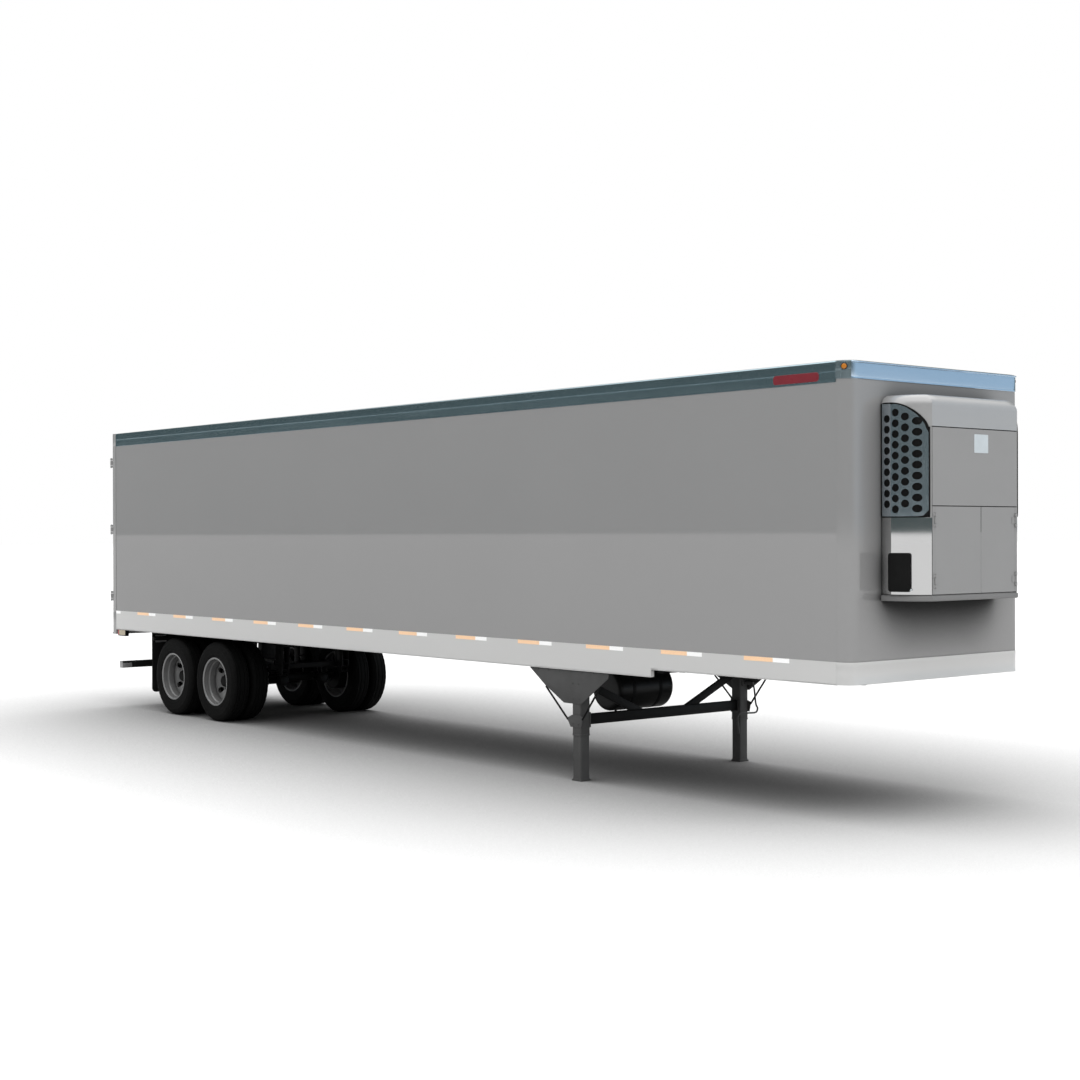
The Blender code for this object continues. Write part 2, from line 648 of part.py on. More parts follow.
def build_rear_doors(frame):
    face = -REAR_FRAME_DEPTH
    outer_edge = HALF_WIDTH - REAR_POST_WIDTH - DOOR_EDGE_GAP
    for word, side in SIDES:
        pivot = empty("rear_door_hinge_" + word, (HINGE_X, side * HINGE_Y, 0), frame)
        low, high = sorted((side * DOOR_EDGE_GAP / 2, side * outer_edge))
        panel = box("rear_door_" + word, (face, low, DOOR_BOTTOM), (face + DOOR_THICKNESS, high, DOOR_TOP))
        straps = []
        holes = []
        half = HINGE_STRAP_HEIGHT / 2
        back = face - HINGE_STRAP_CLEARANCE - HINGE_STRAP_THICKNESS
        inner = side * (HINGE_Y - HINGE_STRAP_LENGTH)
        for z in hinge_heights():
            low, high = sorted((inner, side * HINGE_Y))
            end = (back + HINGE_STRAP_THICKNESS, high, z + half)
            straps.append(box("strap", (back, low, z - half), end))
            low, high = sorted((inner + side * JOIN, side * (outer_edge - JOIN)))
            end = (face + JOIN, high, z + half - JOIN)
            straps.append(box("foot", (back + JOIN / 2, low, z - half + JOIN), end))
            low, high = sorted((side * (HINGE_Y - HINGE_KNUCKLE_RADIUS), side * HINGE_Y))
            straps.append(box("web", (HINGE_X, low, z - half), (back + JOIN / 2, high, z + half)))
            ends = [(HINGE_X, side * HINGE_Y, end) for end in (z - half, z + half)]
            straps.append(cylinder("knuckle", ends[0], ends[1], HINGE_KNUCKLE_RADIUS, sides=HINGE_SIDES))
            holes.append(hinge_hole(HINGE_X, side * HINGE_Y, z, half, HINGE_PIN_RADIUS))
        finish(cut(join(panel, *straps), *holes), "side_skin", pivot)
        build_lock_rods(word, side, face, pivot)


def build_lock_rods(word, side, face, pivot):
    """Two upright locking rods on shared carrier strips, with a handle on each."""
    rod_x = face - LOCK_ROD_CLEARANCE - LOCK_ROD_RADIUS
    middle = (DOOR_BOTTOM + DOOR_TOP) / 2
    ends = (DOOR_BOTTOM + LOCK_STRIP_END, DOOR_TOP - LOCK_STRIP_END)
    strip_heights = (ends[0], middle - LOCK_STRIP_END, middle + LOCK_STRIP_END, ends[1])
    low = side * (LOCK_ROD_PLACES[0] - LOCK_STRIP_REACH)
    high = side * (LOCK_ROD_PLACES[1] + LOCK_STRIP_REACH)
    low, high = sorted((low, high))
    half = LOCK_STRIP_HEIGHT / 2
    start_x = rod_x + LOCK_ROD_RADIUS / 4
    pieces = [box("strip", (start_x, low, z - half), (face - GAP, high, z + half)) for z in strip_heights]
    for place in LOCK_ROD_PLACES:
        ends = [(rod_x, side * place, z) for z in (DOOR_BOTTOM + 2 * JOIN, DOOR_TOP - 2 * JOIN)]
        pieces.append(cylinder("upright", ends[0], ends[1], LOCK_ROD_RADIUS, sides=12))
        low, high = sorted((side * (place + LOCK_ROD_RADIUS / 2), side * (place - LOCK_HANDLE_LENGTH)))
        half = LOCK_HANDLE_HEIGHT / 2
        start = (rod_x - LOCK_HANDLE_OUT, low, LOCK_HANDLE_Z - half)
        end = (rod_x - LOCK_HANDLE_OUT + LOCK_HANDLE_THICKNESS, high, LOCK_HANDLE_Z + half)
        pieces.append(box("handle", start, end))
    rods = join(pieces[0], *pieces[1:])
    rods.name = "lock_rods_" + word
    finish(rods, "rim", pivot)


def tyre_profile():
    half = TYRE_WIDTH / 2
    crown = TYRE_RADIUS
    bead = RIM_RADIUS + GAP
    seat = RIM_HALF_WIDTH - GAP
    return (
        (bead, -seat), (RIM_FLANGE_RADIUS, -seat), (RIM_FLANGE_RADIUS + TYRE_BULGE_RISE, -half),
        (crown - TYRE_SHOULDER, TYRE_SHOULDER_IN - half), (crown, -TREAD_HALF_WIDTH),
        (crown, TREAD_HALF_WIDTH),
        (crown - TYRE_SHOULDER, half - TYRE_SHOULDER_IN), (RIM_FLANGE_RADIUS + TYRE_BULGE_RISE, half),
        (RIM_FLANGE_RADIUS, seat), (bead, seat),
    )


def rim_profile():
    """Both rims of a twin wheel with their discs, the hub and the brake drum, as (radius, height)."""
    outer = TWIN_MIDDLE_Y + TWIN_SPACING / 2
    inner = TWIN_MIDDLE_Y - TWIN_SPACING / 2
    lip = RIM_FLANGE_WIDTH
    thin = RIM_THICKNESS
    seat = RIM_RADIUS - thin
    return (
        (SPINDLE_RADIUS + GAP, DRUM_INNER_Y), (DRUM_RADIUS, DRUM_INNER_Y), (DRUM_RADIUS, DRUM_OUTER_Y),
        (HUB_RADIUS, DRUM_OUTER_Y), (HUB_RADIUS, TWIN_MIDDLE_Y - DISC_THICKNESS),
        (DISC_RADIUS, TWIN_MIDDLE_Y - DISC_THICKNESS), (seat, inner + RIM_WELL_OUTER),
        (seat, inner - RIM_HALF_WIDTH), (RIM_FLANGE_RADIUS, inner - RIM_HALF_WIDTH - lip),
        (RIM_FLANGE_RADIUS, inner - RIM_HALF_WIDTH), (RIM_RADIUS, inner - RIM_HALF_WIDTH),
        (RIM_RADIUS, inner + RIM_HALF_WIDTH), (RIM_FLANGE_RADIUS, inner + RIM_HALF_WIDTH),
        (RIM_FLANGE_RADIUS, inner + RIM_HALF_WIDTH + lip), (seat, inner + RIM_HALF_WIDTH),
        (seat, inner + RIM_WELL_INNER), (DISC_RADIUS, TWIN_MIDDLE_Y),
        (seat, outer - RIM_WELL_INNER), (seat, outer - RIM_HALF_WIDTH),
        (RIM_FLANGE_RADIUS, outer - RIM_HALF_WIDTH - lip),
        (RIM_FLANGE_RADIUS, outer - RIM_HALF_WIDTH), (RIM_RADIUS, outer - RIM_HALF_WIDTH),
        (RIM_RADIUS, outer + RIM_HALF_WIDTH), (RIM_FLANGE_RADIUS, outer + RIM_HALF_WIDTH),
        (RIM_FLANGE_RADIUS, outer + RIM_HALF_WIDTH + lip), (seat, outer + RIM_HALF_WIDTH),
        (seat, outer - RIM_WELL_OUTER), (DISC_RADIUS, TWIN_MIDDLE_Y + DISC_THICKNESS),
        (HUB_RADIUS, TWIN_MIDDLE_Y + DISC_THICKNESS), (HUB_RADIUS, HUB_END_Y - HUB_CAP_LENGTH - HUB_CHAMFER),
        (HUB_CAP_RADIUS, HUB_END_Y - HUB_CAP_LENGTH), (HUB_CAP_RADIUS, HUB_END_Y), (0, HUB_END_Y),
        (0, SPINDLE_END_Y + SPINDLE_END_GAP), (SPINDLE_RADIUS + GAP, SPINDLE_END_Y + SPINDLE_END_GAP),
    )


def build_wheels(frame):
    for place, axle_x in zip(("rear", "front"), AXLE_XS):
        for word, side in SIDES:
            label = place + "_" + word
            pivot = empty("wheel_axis_" + label, (axle_x, 0, AXLE_Z), frame)
            turn = (-side * math.pi / 2, 0, 0)
            rims = turned("rims_" + label, rim_profile(), WHEEL_STEPS, (axle_x, 0, AXLE_Z), turn)
            finish(rims, "rim", pivot)
            for where, twin in (("outer", 1), ("inner", -1)):
                y = side * (TWIN_MIDDLE_Y + twin * TWIN_SPACING / 2)
                tyre = turned(
                    "tyre_" + label + "_" + where, tyre_profile(), WHEEL_STEPS, (axle_x, y, AXLE_Z), turn
                )
                finish(tyre, "tyre", pivot)


def build_axles(frame):
    for place, axle_x in zip(("rear", "front"), AXLE_XS):
        tube = cylinder(
            "axle_" + place, (axle_x, -AXLE_TUBE_HALF_LENGTH, AXLE_Z),
            (axle_x, AXLE_TUBE_HALF_LENGTH, AXLE_Z), AXLE_TUBE_RADIUS,
        )
        pieces = [
            cylinder(
                "spindle", (axle_x, -SPINDLE_END_Y, AXLE_Z), (axle_x, SPINDLE_END_Y, AXLE_Z),
                SPINDLE_RADIUS, sides=WHEEL_STEPS,
            )
        ]
        for side in (LEFT, RIGHT):
            y = side * (SPRING_Y - CHAMBER_FROM_SPRING)
            start = (axle_x + AXLE_TUBE_RADIUS, y, AXLE_Z - CHAMBER_DROP)
            end = (start[0] + CHAMBER_REACH, start[1], start[2])
            tip = (end[0] + CHAMBER_LENGTH, end[1], end[2])
            root = (axle_x, start[1], start[2])
            cap = (tip[0] + JOIN, tip[1], tip[2])
            pieces.append(cylinder("neck", root, tip, CHAMBER_NECK_RADIUS, sides=12))
            pieces.append(cylinder("chamber", end, cap, CHAMBER_RADIUS, sides=20))
            low = (axle_x - AXLE_SEAT_HALF_LENGTH, side * SPRING_Y - SPRING_WIDTH / 2, AXLE_Z)
            high = (axle_x + AXLE_SEAT_HALF_LENGTH, side * SPRING_Y + SPRING_WIDTH / 2, SPRING_BASE_Z - GAP)
            pieces.append(box("seat", low, high))
        finish(join(tube, *pieces), "chassis", frame)


def build_suspension(frame):
    """Leaf springs slung over the axles, with the hangers that carry their ends, one node a side."""
    centre = sum(AXLE_XS) / 2
    half_run = (AXLE_XS[1] - AXLE_XS[0]) / 2
    front_x = FRONT_BEAM_X + FRONT_BEAM_LENGTH / 2 + HANGER_LENGTH / 2 + GAP
    hanger_xs = (centre - 2 * half_run, centre, front_x)
    for word, side in SIDES:
        y = side * SPRING_Y
        pieces = []
        for x in hanger_xs:
            low = (x - HANGER_LENGTH / 2, y - HANGER_WIDTH / 2, HANGER_BOTTOM)
            high = (x + HANGER_LENGTH / 2, y + HANGER_WIDTH / 2, BOGIE_RAIL_BOTTOM - GAP)
            pieces.append(box("hanger", low, high))
        low = (hanger_xs[0], y - SPRING_WIDTH / 2, SPRING_BASE_Z)
        high = (hanger_xs[-1], y + SPRING_WIDTH / 2, SPRING_BASE_Z + SPRING_THICKNESS)
        pieces.append(box("leaf", low, high))
        node = join(pieces[0], *pieces[1:])
        node.name = "suspension_" + word
        finish(node, "chassis", frame)


def build_bogie(frame):
    """Two long rails joined by three cross beams, under the crossmembers."""
    pieces = []
    for side in (LEFT, RIGHT):
        low = (BOGIE_REAR_X, side * SPRING_Y - BOGIE_RAIL_WIDTH / 2, BOGIE_RAIL_BOTTOM)
        high = (BOGIE_FRONT_X, side * SPRING_Y + BOGIE_RAIL_WIDTH / 2, BOGIE_RAIL_TOP)
        pieces.append(box("rail", low, high))
    half = BOGIE_CROSS_LENGTH / 2
    inset = BOGIE_CROSS_INSET + half
    for x in (BOGIE_REAR_X + inset, sum(AXLE_XS) / 2, BOGIE_FRONT_X - inset):
        low = (x - half, -SPRING_Y, BOGIE_RAIL_BOTTOM + BOGIE_CROSS_DROP)
        pieces.append(box("cross", low, (x + half, SPRING_Y, BOGIE_RAIL_TOP - BOGIE_CROSS_DROP)))
    node = join(pieces[0], *pieces[1:])
    node.name = "bogie_frame"
    finish(node, "chassis", frame)

    low_x = FRONT_BEAM_X - FRONT_BEAM_LENGTH / 2
    high_x = FRONT_BEAM_X + FRONT_BEAM_LENGTH / 2
    top = FRONT_BEAM_BOTTOM + FRONT_BEAM_HEIGHT
    low = (low_x, -FRONT_BEAM_HALF_LENGTH, SPRING_BASE_Z + SPRING_THICKNESS + GAP)
    beam = box("bogie_front_beam", low, (high_x, FRONT_BEAM_HALF_LENGTH, top + SPRING_THICKNESS))
    posts = []
    half = FRONT_POST_WIDTH / 2
    for side in (LEFT, RIGHT):
        low = (low_x, side * SPRING_Y - half, top - JOIN)
        posts.append(box("post", low, (high_x, side * SPRING_Y + half, BOGIE_RAIL_BOTTOM - GAP)))
    finish(join(beam, *posts), "chassis", frame)


def build_mud_flaps(frame):
    for word, side in SIDES:
        low_corner = FLAP_BOTTOM + FLAP_CORNER
        outline = list(arc((FLAP_OUTER_Y - FLAP_CORNER, low_corner), FLAP_CORNER, -90, 0, 4))
        outline += [(FLAP_OUTER_Y, CROSSMEMBER_BOTTOM - GAP), (FLAP_INNER_Y, CROSSMEMBER_BOTTOM - GAP)]
        outline += list(arc((FLAP_INNER_Y + FLAP_CORNER, low_corner), FLAP_CORNER, 180, 270, 4))
        outline = [(side * y, z) for y, z in outline]
        middle = FLAP_CROSSMEMBER * CROSSMEMBER_SPACING
        half = FLAP_THICKNESS / 2
        flap = prism("mud_flap_" + word, outline, middle - half, middle + half, "X")
        finish(flap, "rubber", frame)


def build_guard(frame):
    """The rear under-run bar on two posts, with a brace forward to the second crossmember."""
    top = GUARD_BOTTOM + GUARD_HEIGHT
    front = GUARD_REAR_X + GUARD_DEPTH
    low = (GUARD_REAR_X, -GUARD_HALF_LENGTH, GUARD_BOTTOM)
    bar = box("underride_guard", low, (front, GUARD_HALF_LENGTH, top))
    pieces = []
    for side in (LEFT, RIGHT):
        y = side * (SPRING_Y + GUARD_POST_FROM_SPRING)
        half = GUARD_POST_WIDTH / 2
        low = (GUARD_REAR_X, y - half, top - JOIN)
        pieces.append(box("post", low, (front, y + half, REAR_SILL_BOTTOM - GAP)))
        far_x = 2 * CROSSMEMBER_SPACING
        brace_top = CROSSMEMBER_BOTTOM - GAP
        brace = (
            (front - GUARD_BRACE_RUN, top - GUARD_BRACE_RUN + GUARD_BRACE_DEPTH),
            (front - GUARD_BRACE_RUN, top - GUARD_BRACE_RUN), (far_x, brace_top - GUARD_BRACE_DEPTH),
            (far_x, brace_top), (far_x - GUARD_BRACE_TOP_LENGTH, brace_top),
        )
        half = GUARD_BRACE_WIDTH / 2
        pieces.append(prism("brace", brace, y - half, y + half, "Y"))
    finish(join(bar, *pieces), "chassis", frame)


def build_landing_gear(frame):
    leg_top = RAIL_REAR_BOTTOM - GAP
    top_edge = [(LEG_X + x, leg_top) for x in (LEG_PLATE[-1][0], LEG_PLATE[0][0])]
    for word, side in SIDES:
        y = side * LEG_Y
        half = LEG_TUBE / 2
        low = (LEG_X - half, y - half, LEG_TUBE_BOTTOM)
        tube = box("landing_leg_" + word, low, (LEG_X + half, y + half, leg_top))
        half = INNER_LEG / 2
        low = (LEG_X - half, y - half, FOOT_THICKNESS / 2)
        inner = box("inner", low, (LEG_X + half, y + half, LEG_TUBE_BOTTOM + INNER_LEG_RUN))
        half = FOOT_SIZE / 2
        foot = box("foot", (LEG_X - half, y - half, 0), (LEG_X + half, y + half, FOOT_THICKNESS))
        finish(join(tube, inner, foot), "leg_steel", frame)

        face = side * (LEG_Y + LEG_TUBE / 2 + GAP)
        back = face + side * LEG_PLATE_THICKNESS
        low, high = sorted((face, back))
        outline = [(LEG_X + x, z) for x, z in LEG_PLATE] + top_edge
        plate = prism("landing_plate_" + word, outline, low, high, "Y")
        collar = prism("collar", [(LEG_X + x, z) for x, z in COLLAR], low, high, "Y")
        rods = []
        for start, end in LEG_RODS:
            ends = [(LEG_X + x, (face + back) / 2, z) for x, z in (start, end)]
            rods.append(rod("rod", ends, LEG_ROD_RADIUS))
        finish(join(plate, collar, *rods), "leg_steel", frame)

    inside = LEG_Y - LEG_TUBE / 2 - GAP
    half = CROSS_TUBE_DEPTH / 2
    top = CROSS_TUBE_BOTTOM + CROSS_TUBE_HEIGHT
    beam = box("landing_cross_tube", (LEG_X - half, -inside, CROSS_TUBE_BOTTOM), (LEG_X + half, inside, top))
    braces = []
    for side in (LEFT, RIGHT):
        foot_y, foot_z = side * BRACE_FOOT_Y, BRACE_FOOT_Z
        up = BRACE_HEIGHT / 2
        outline = (
            (foot_y, foot_z - up), (foot_y, foot_z + up),
            (side * inside, BRACE_TOP_Z + up), (side * inside, BRACE_TOP_Z - up),
        )
        half = BRACE_DEPTH / 2
        braces.append(prism("brace", outline, LEG_X - half, LEG_X + half, "X"))
    finish(join(beam, *braces), "leg_steel", frame)

    crank_x = LEG_X + CRANK_X_FROM_LEG
    route = [(crank_x, LEG_Y + y, z) for y, z in CRANK_ROUTE]
    shaft_start = (LEG_X + LEG_TUBE / 2 + GAP, LEG_Y, CRANK_ROUTE[0][1])
    shaft = cylinder("shaft", shaft_start, (crank_x, LEG_Y, CRANK_ROUTE[0][1]), CRANK_SHAFT_RADIUS, sides=12)
    crank = join(rod("landing_crank", route, CRANK_RADIUS), shaft)
    finish(crank, "leg_steel", frame)


def build_tank(frame):
    ends = [(TANK_X, TANK_Y + side * TANK_HALF_LENGTH, TANK_Z) for side in (RIGHT, LEFT)]
    finish(cylinder("fuel_tank", ends[0], ends[1], TANK_RADIUS, sides=TANK_SIDES), "chassis", frame)
    top = CROSSMEMBER_BOTTOM - GAP
    pieces = []
    for side in (LEFT, RIGHT):
        low_y = side * TANK_STRAP_Y - TANK_STRAP_WIDTH / 2
        high_y = low_y + TANK_STRAP_WIDTH
        low = (TANK_X - TANK_SADDLE_REACH, low_y, TANK_Z + TANK_SADDLE_REACH)
        pieces.append(box("saddle", low, (TANK_X + TANK_SADDLE_REACH, high_y, top)))
        ends = [(TANK_X, y, TANK_Z) for y in (low_y, high_y)]
        radius = TANK_RADIUS + TANK_STRAP_THICKNESS
        pieces.append(cylinder("band", ends[0], ends[1], radius, sides=TANK_SIDES))
    reach = TANK_STRAP_Y + TANK_STRAP_WIDTH / 4
    bar_top = top - TANK_BAR_DROP
    low = (TANK_X - TANK_BAR_HALF_LENGTH, -reach, bar_top - TANK_BAR_THICKNESS)
    bar = box("tank_straps", low, (TANK_X + TANK_BAR_HALF_LENGTH, reach, bar_top))
    ends = [(TANK_X, TANK_Y + side * TANK_HALF_LENGTH, TANK_Z) for side in (RIGHT, LEFT)]
    hole = cylinder("hole", ends[0], ends[1], TANK_RADIUS + GAP, sides=TANK_SIDES)
    finish(cut(join(bar, *pieces), hole), "chassis", frame)


def build_coupler(frame):
    front = BODY_LENGTH - COUPLER_FRONT
    top = CROSSMEMBER_TOP
    low = (COUPLER_REAR_X, -COUPLER_HALF_WIDTH, COUPLER_BOTTOM)
    finish(box("coupler_plate", low, (front, COUPLER_HALF_WIDTH, top)), "chassis", frame)
    profile = (
        (0, 0), (KINGPIN_FLANGE_RADIUS, 0), (KINGPIN_FLANGE_RADIUS, KINGPIN_FLANGE_TOP),
        (KINGPIN_RADIUS, KINGPIN_WAIST[0]), (KINGPIN_RADIUS, KINGPIN_WAIST[1]),
        (KINGPIN_NECK_RADIUS, KINGPIN_NECK_START), (KINGPIN_NECK_RADIUS, KINGPIN_LENGTH - GAP),
        (0, KINGPIN_LENGTH - GAP),
    )
    place = (BODY_LENGTH - KINGPIN_SETBACK, 0, COUPLER_BOTTOM - KINGPIN_LENGTH)
    finish(turned("kingpin", profile, 32, place), "chassis", frame)


def unit_edge(first, last, out):
    """The cooling unit's left corner in plan, from one of its steps to another, pushed out by a thickness."""
    drop = UNIT_HALF_WIDTH - UNIT_FLAT_HALF_WIDTH
    run = UNIT_DEPTH - UNIT_SIDE_RUN
    radius = run / math.sin(2 * math.atan2(drop, run))
    centre = (BODY_LENGTH + UNIT_SIDE_RUN, UNIT_HALF_WIDTH - radius)
    step = math.degrees(2 * math.atan2(drop, run)) / UNIT_CORNER_STEPS
    return list(arc(centre, radius + out, 90 - step * first, 90 - step * last, last - first))


def unit_outline(out, back):
    """The cooling unit's whole plan, pushed out by a thickness."""
    half = [(back, UNIT_HALF_WIDTH + out)] + unit_edge(0, UNIT_CORNER_STEPS, out)
    half[-1] = (BODY_LENGTH + UNIT_DEPTH + out, half[-1][1])
    return half + [(x, -y) for x, y in reversed(half)]


def unit_skin(name, side, steps, thickness, low, high):
    """A panel that lies on the unit's rounded corner, between two of its steps."""
    first, last = steps
    outer = unit_edge(first, last, thickness)
    inner = unit_edge(first, last, GAP)
    return prism(name, [(x, side * y) for x, y in outer + inner[::-1]], low, high)


def build_unit(frame):
    back = BODY_LENGTH - WALL_INSET + GAP
    base_top = UNIT_BOTTOM + UNIT_BASE_HEIGHT
    base = prism("unit_base", unit_outline(UNIT_BASE_LIP, back), UNIT_BOTTOM, base_top)
    finish(base, "unit_grey", frame)

    low_z = base_top - CUTTER_REACH
    hollow_top = UNIT_TOP - UNIT_TOP_RADIUS
    hollow = prism("hollow", unit_outline(-UNIT_WALL, back - CUTTER_REACH), low_z, hollow_top)
    doorway_half = UNIT_FLAT_HALF_WIDTH - UNIT_DOOR_FRAME
    front = BODY_LENGTH + UNIT_DEPTH
    low = (front - 2 * UNIT_WALL, -doorway_half, low_z)
    doorway = box("doorway", low, (front + CUTTER_REACH, doorway_half, UNIT_DOOR_TOP))
    shell = cut(unit_shell(back, base_top + GAP), hollow, doorway)
    finish(join(shell, *unit_hinge_pieces(front)), "unit_grey", frame)
    build_unit_doors(frame)

    for word, side in SIDES:
        name = "unit_grille_" + word
        steps = (0, UNIT_CORNER_STEPS)
        grille = unit_skin(name, side, steps, GRILLE_STAND, GRILLE_BOTTOM, GRILLE_TOP)
        finish(grille, "grille", frame)
    control = unit_skin(
        "control_box", RIGHT, CONTROL_STEPS, CONTROL_DEPTH, CONTROL_BOTTOM, CONTROL_TOP
    )
    finish(control, "black", frame)

    deep, wide, tall = ENGINE_SIZE
    low_x = BODY_LENGTH + ENGINE_FROM_WALL
    low = (low_x, -wide / 2, base_top + GAP)
    finish(box("engine_block", low, (low_x + deep, wide / 2, low[2] + tall)), "engine", frame)


def unit_hinge_pieces(front):
    """What the housing carries of the doors' hinges."""
    _, _, edge, heights = unit_door_sizes()
    pieces = []
    for side in (LEFT, RIGHT):
        x, y = front + UNIT_HINGE_OUT, side * (edge + UNIT_DOOR_GAP / 2)
        ear = sorted((y, side * (UNIT_FLAT_HALF_WIDTH - JOIN / 2)))
        for z in heights:
            half = UNIT_HINGE_HEIGHT / 2
            knuckles, spans = hinge_fixed(x, y, z, half, UNIT_HINGE_RADIUS, UNIT_PIN_RADIUS)
            pieces += knuckles
            for low, high in spans:
                pieces.append(box("ear", (front - JOIN, ear[0], low), (x, ear[1], high)))
    return pieces


def unit_shell(back, bottom):
    """The housing before it is hollowed, rounded all round its top."""
    rings = [[(x, y, bottom) for x, y in unit_outline(0, back)]]
    centre = (-UNIT_TOP_RADIUS, UNIT_TOP - UNIT_TOP_RADIUS)
    for depth, height in arc(centre, UNIT_TOP_RADIUS, 0, 90, UNIT_TOP_STEPS):
        rings.append([(x, y, height) for x, y in unit_outline(depth, back)])
    return lofted("unit_housing", rings)


def unit_door_sizes():
    """The doors' lowest and highest z, their outer edges' distance from the middle, their hinges' heights."""
    low = UNIT_BOTTOM + UNIT_BASE_HEIGHT + UNIT_DOOR_GAP
    high = UNIT_DOOR_TOP - UNIT_DOOR_GAP
    edge = UNIT_FLAT_HALF_WIDTH - UNIT_DOOR_FRAME - UNIT_DOOR_GAP
    return low, high, edge, (low + UNIT_HINGE_FROM_END, high - UNIT_HINGE_FROM_END)


def build_unit_doors(frame):
    front = BODY_LENGTH + UNIT_DEPTH
    low_z, high_z, edge, heights = unit_door_sizes()
    half = UNIT_HINGE_HEIGHT / 2
    for word, side in SIDES:
        x, y = front + UNIT_HINGE_OUT, side * (edge + UNIT_DOOR_GAP / 2)
        pivot = empty("unit_door_hinge_" + word, (x, y, 0), frame)
        low, high = sorted((side * edge, UNIT_DOOR_SPLIT_Y + side * UNIT_DOOR_GAP / 2))
        door = box("unit_door_" + word, (front - UNIT_DOOR_THICKNESS, low, low_z), (front, high, high_z))
        knuckles = []
        holes = []
        leaf = sorted((y + side * UNIT_PIN_RADIUS / 2, y - side * UNIT_HINGE_LEAF))
        leaf_x = x - UNIT_PIN_RADIUS / 2
        for z in heights:
            knuckles.append(box("leaf", (front - JOIN, leaf[0], z - half), (leaf_x, leaf[1], z + half)))
            ends = [(x, y, end) for end in (z - half, z + half)]
            knuckles.append(cylinder("knuckle", ends[0], ends[1], UNIT_HINGE_RADIUS, sides=HINGE_SIDES))
            holes.append(hinge_hole(x, y, z, half, UNIT_PIN_RADIUS))
        finish(cut(join(door, *knuckles), *holes), "unit_grey", pivot)


def build_lamps(frame):
    for word, side in SIDES:
        low, high = sorted((side * HALF_WIDTH, side * (HALF_WIDTH - CORNER_LAMP_DEPTH)))
        top = RAIL_REAR_BOTTOM - GAP
        lamp = box(
            "rear_corner_lamp_" + word, (CORNER_LAMP_X, low, top - CORNER_LAMP_HEIGHT),
            (CORNER_LAMP_X + CORNER_LAMP_LENGTH, high, top),
        )
        finish(lamp, "amber", frame)


def main():
    clear_scene()
    frame = empty("trailer_frame", (-MIDDLE_X, 0, 0))
    build_body(frame)
    build_crossmembers(frame)
    build_rear_frame(frame)
    build_rear_doors(frame)
    build_wheels(frame)
    build_axles(frame)
    build_suspension(frame)
    build_bogie(frame)
    build_mud_flaps(frame)
    build_guard(frame)
    build_landing_gear(frame)
    build_tank(frame)
    build_coupler(frame)
    build_unit(frame)
    build_lamps(frame)
    bpy.context.view_layer.update()


main()
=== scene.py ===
"""Looks of the refrigerated box semi trailer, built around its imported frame.

Places along the trailer are written as in the part's source: metres from the rear end of the side
walls, +X forward, +Y to the trailer's left, +Z up. REAR_X moves them into the frame.
"""

import json
import math

import bmesh
import bpy
from mathutils import Matrix, Vector
from mathutils.geometry import delaunay_2d_cdt


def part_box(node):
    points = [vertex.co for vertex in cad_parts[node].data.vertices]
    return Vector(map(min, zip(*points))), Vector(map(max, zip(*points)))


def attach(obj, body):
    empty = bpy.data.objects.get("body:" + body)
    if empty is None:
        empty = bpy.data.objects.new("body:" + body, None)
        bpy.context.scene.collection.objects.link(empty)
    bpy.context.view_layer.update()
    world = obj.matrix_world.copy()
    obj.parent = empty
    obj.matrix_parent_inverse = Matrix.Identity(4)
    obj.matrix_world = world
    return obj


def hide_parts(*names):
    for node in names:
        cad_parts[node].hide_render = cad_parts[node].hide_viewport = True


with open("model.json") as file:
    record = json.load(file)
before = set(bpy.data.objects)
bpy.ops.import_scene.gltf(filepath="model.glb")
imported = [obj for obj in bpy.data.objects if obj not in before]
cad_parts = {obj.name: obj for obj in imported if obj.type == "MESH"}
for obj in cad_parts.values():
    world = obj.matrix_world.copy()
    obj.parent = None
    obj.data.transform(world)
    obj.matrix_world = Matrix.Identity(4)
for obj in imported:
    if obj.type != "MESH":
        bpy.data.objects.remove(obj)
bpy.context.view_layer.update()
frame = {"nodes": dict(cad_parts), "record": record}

SIDES = (("left", 1), ("right", -1))
BOTH = (1, -1)
REAR_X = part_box("side_wall_left")[0].x
BODY_LENGTH = 14.345
HALF_WIDTH = 1.295
BODY_TOP = 4.1365
RAIL_BOTTOM = 3.9425
SIDE_FRONT_X = 14.195
CORNER_RADIUS = 0.15
SKIN_INSET = 0.004
TAPE_TOP = 1.446
TAPE_FRONT = 13.64
TAPE_STEP = 1.1245
TAPE_COUNT = 12
UNIT_FRONT = BODY_LENGTH + 0.3985
GAP = 0.0005


# Materials

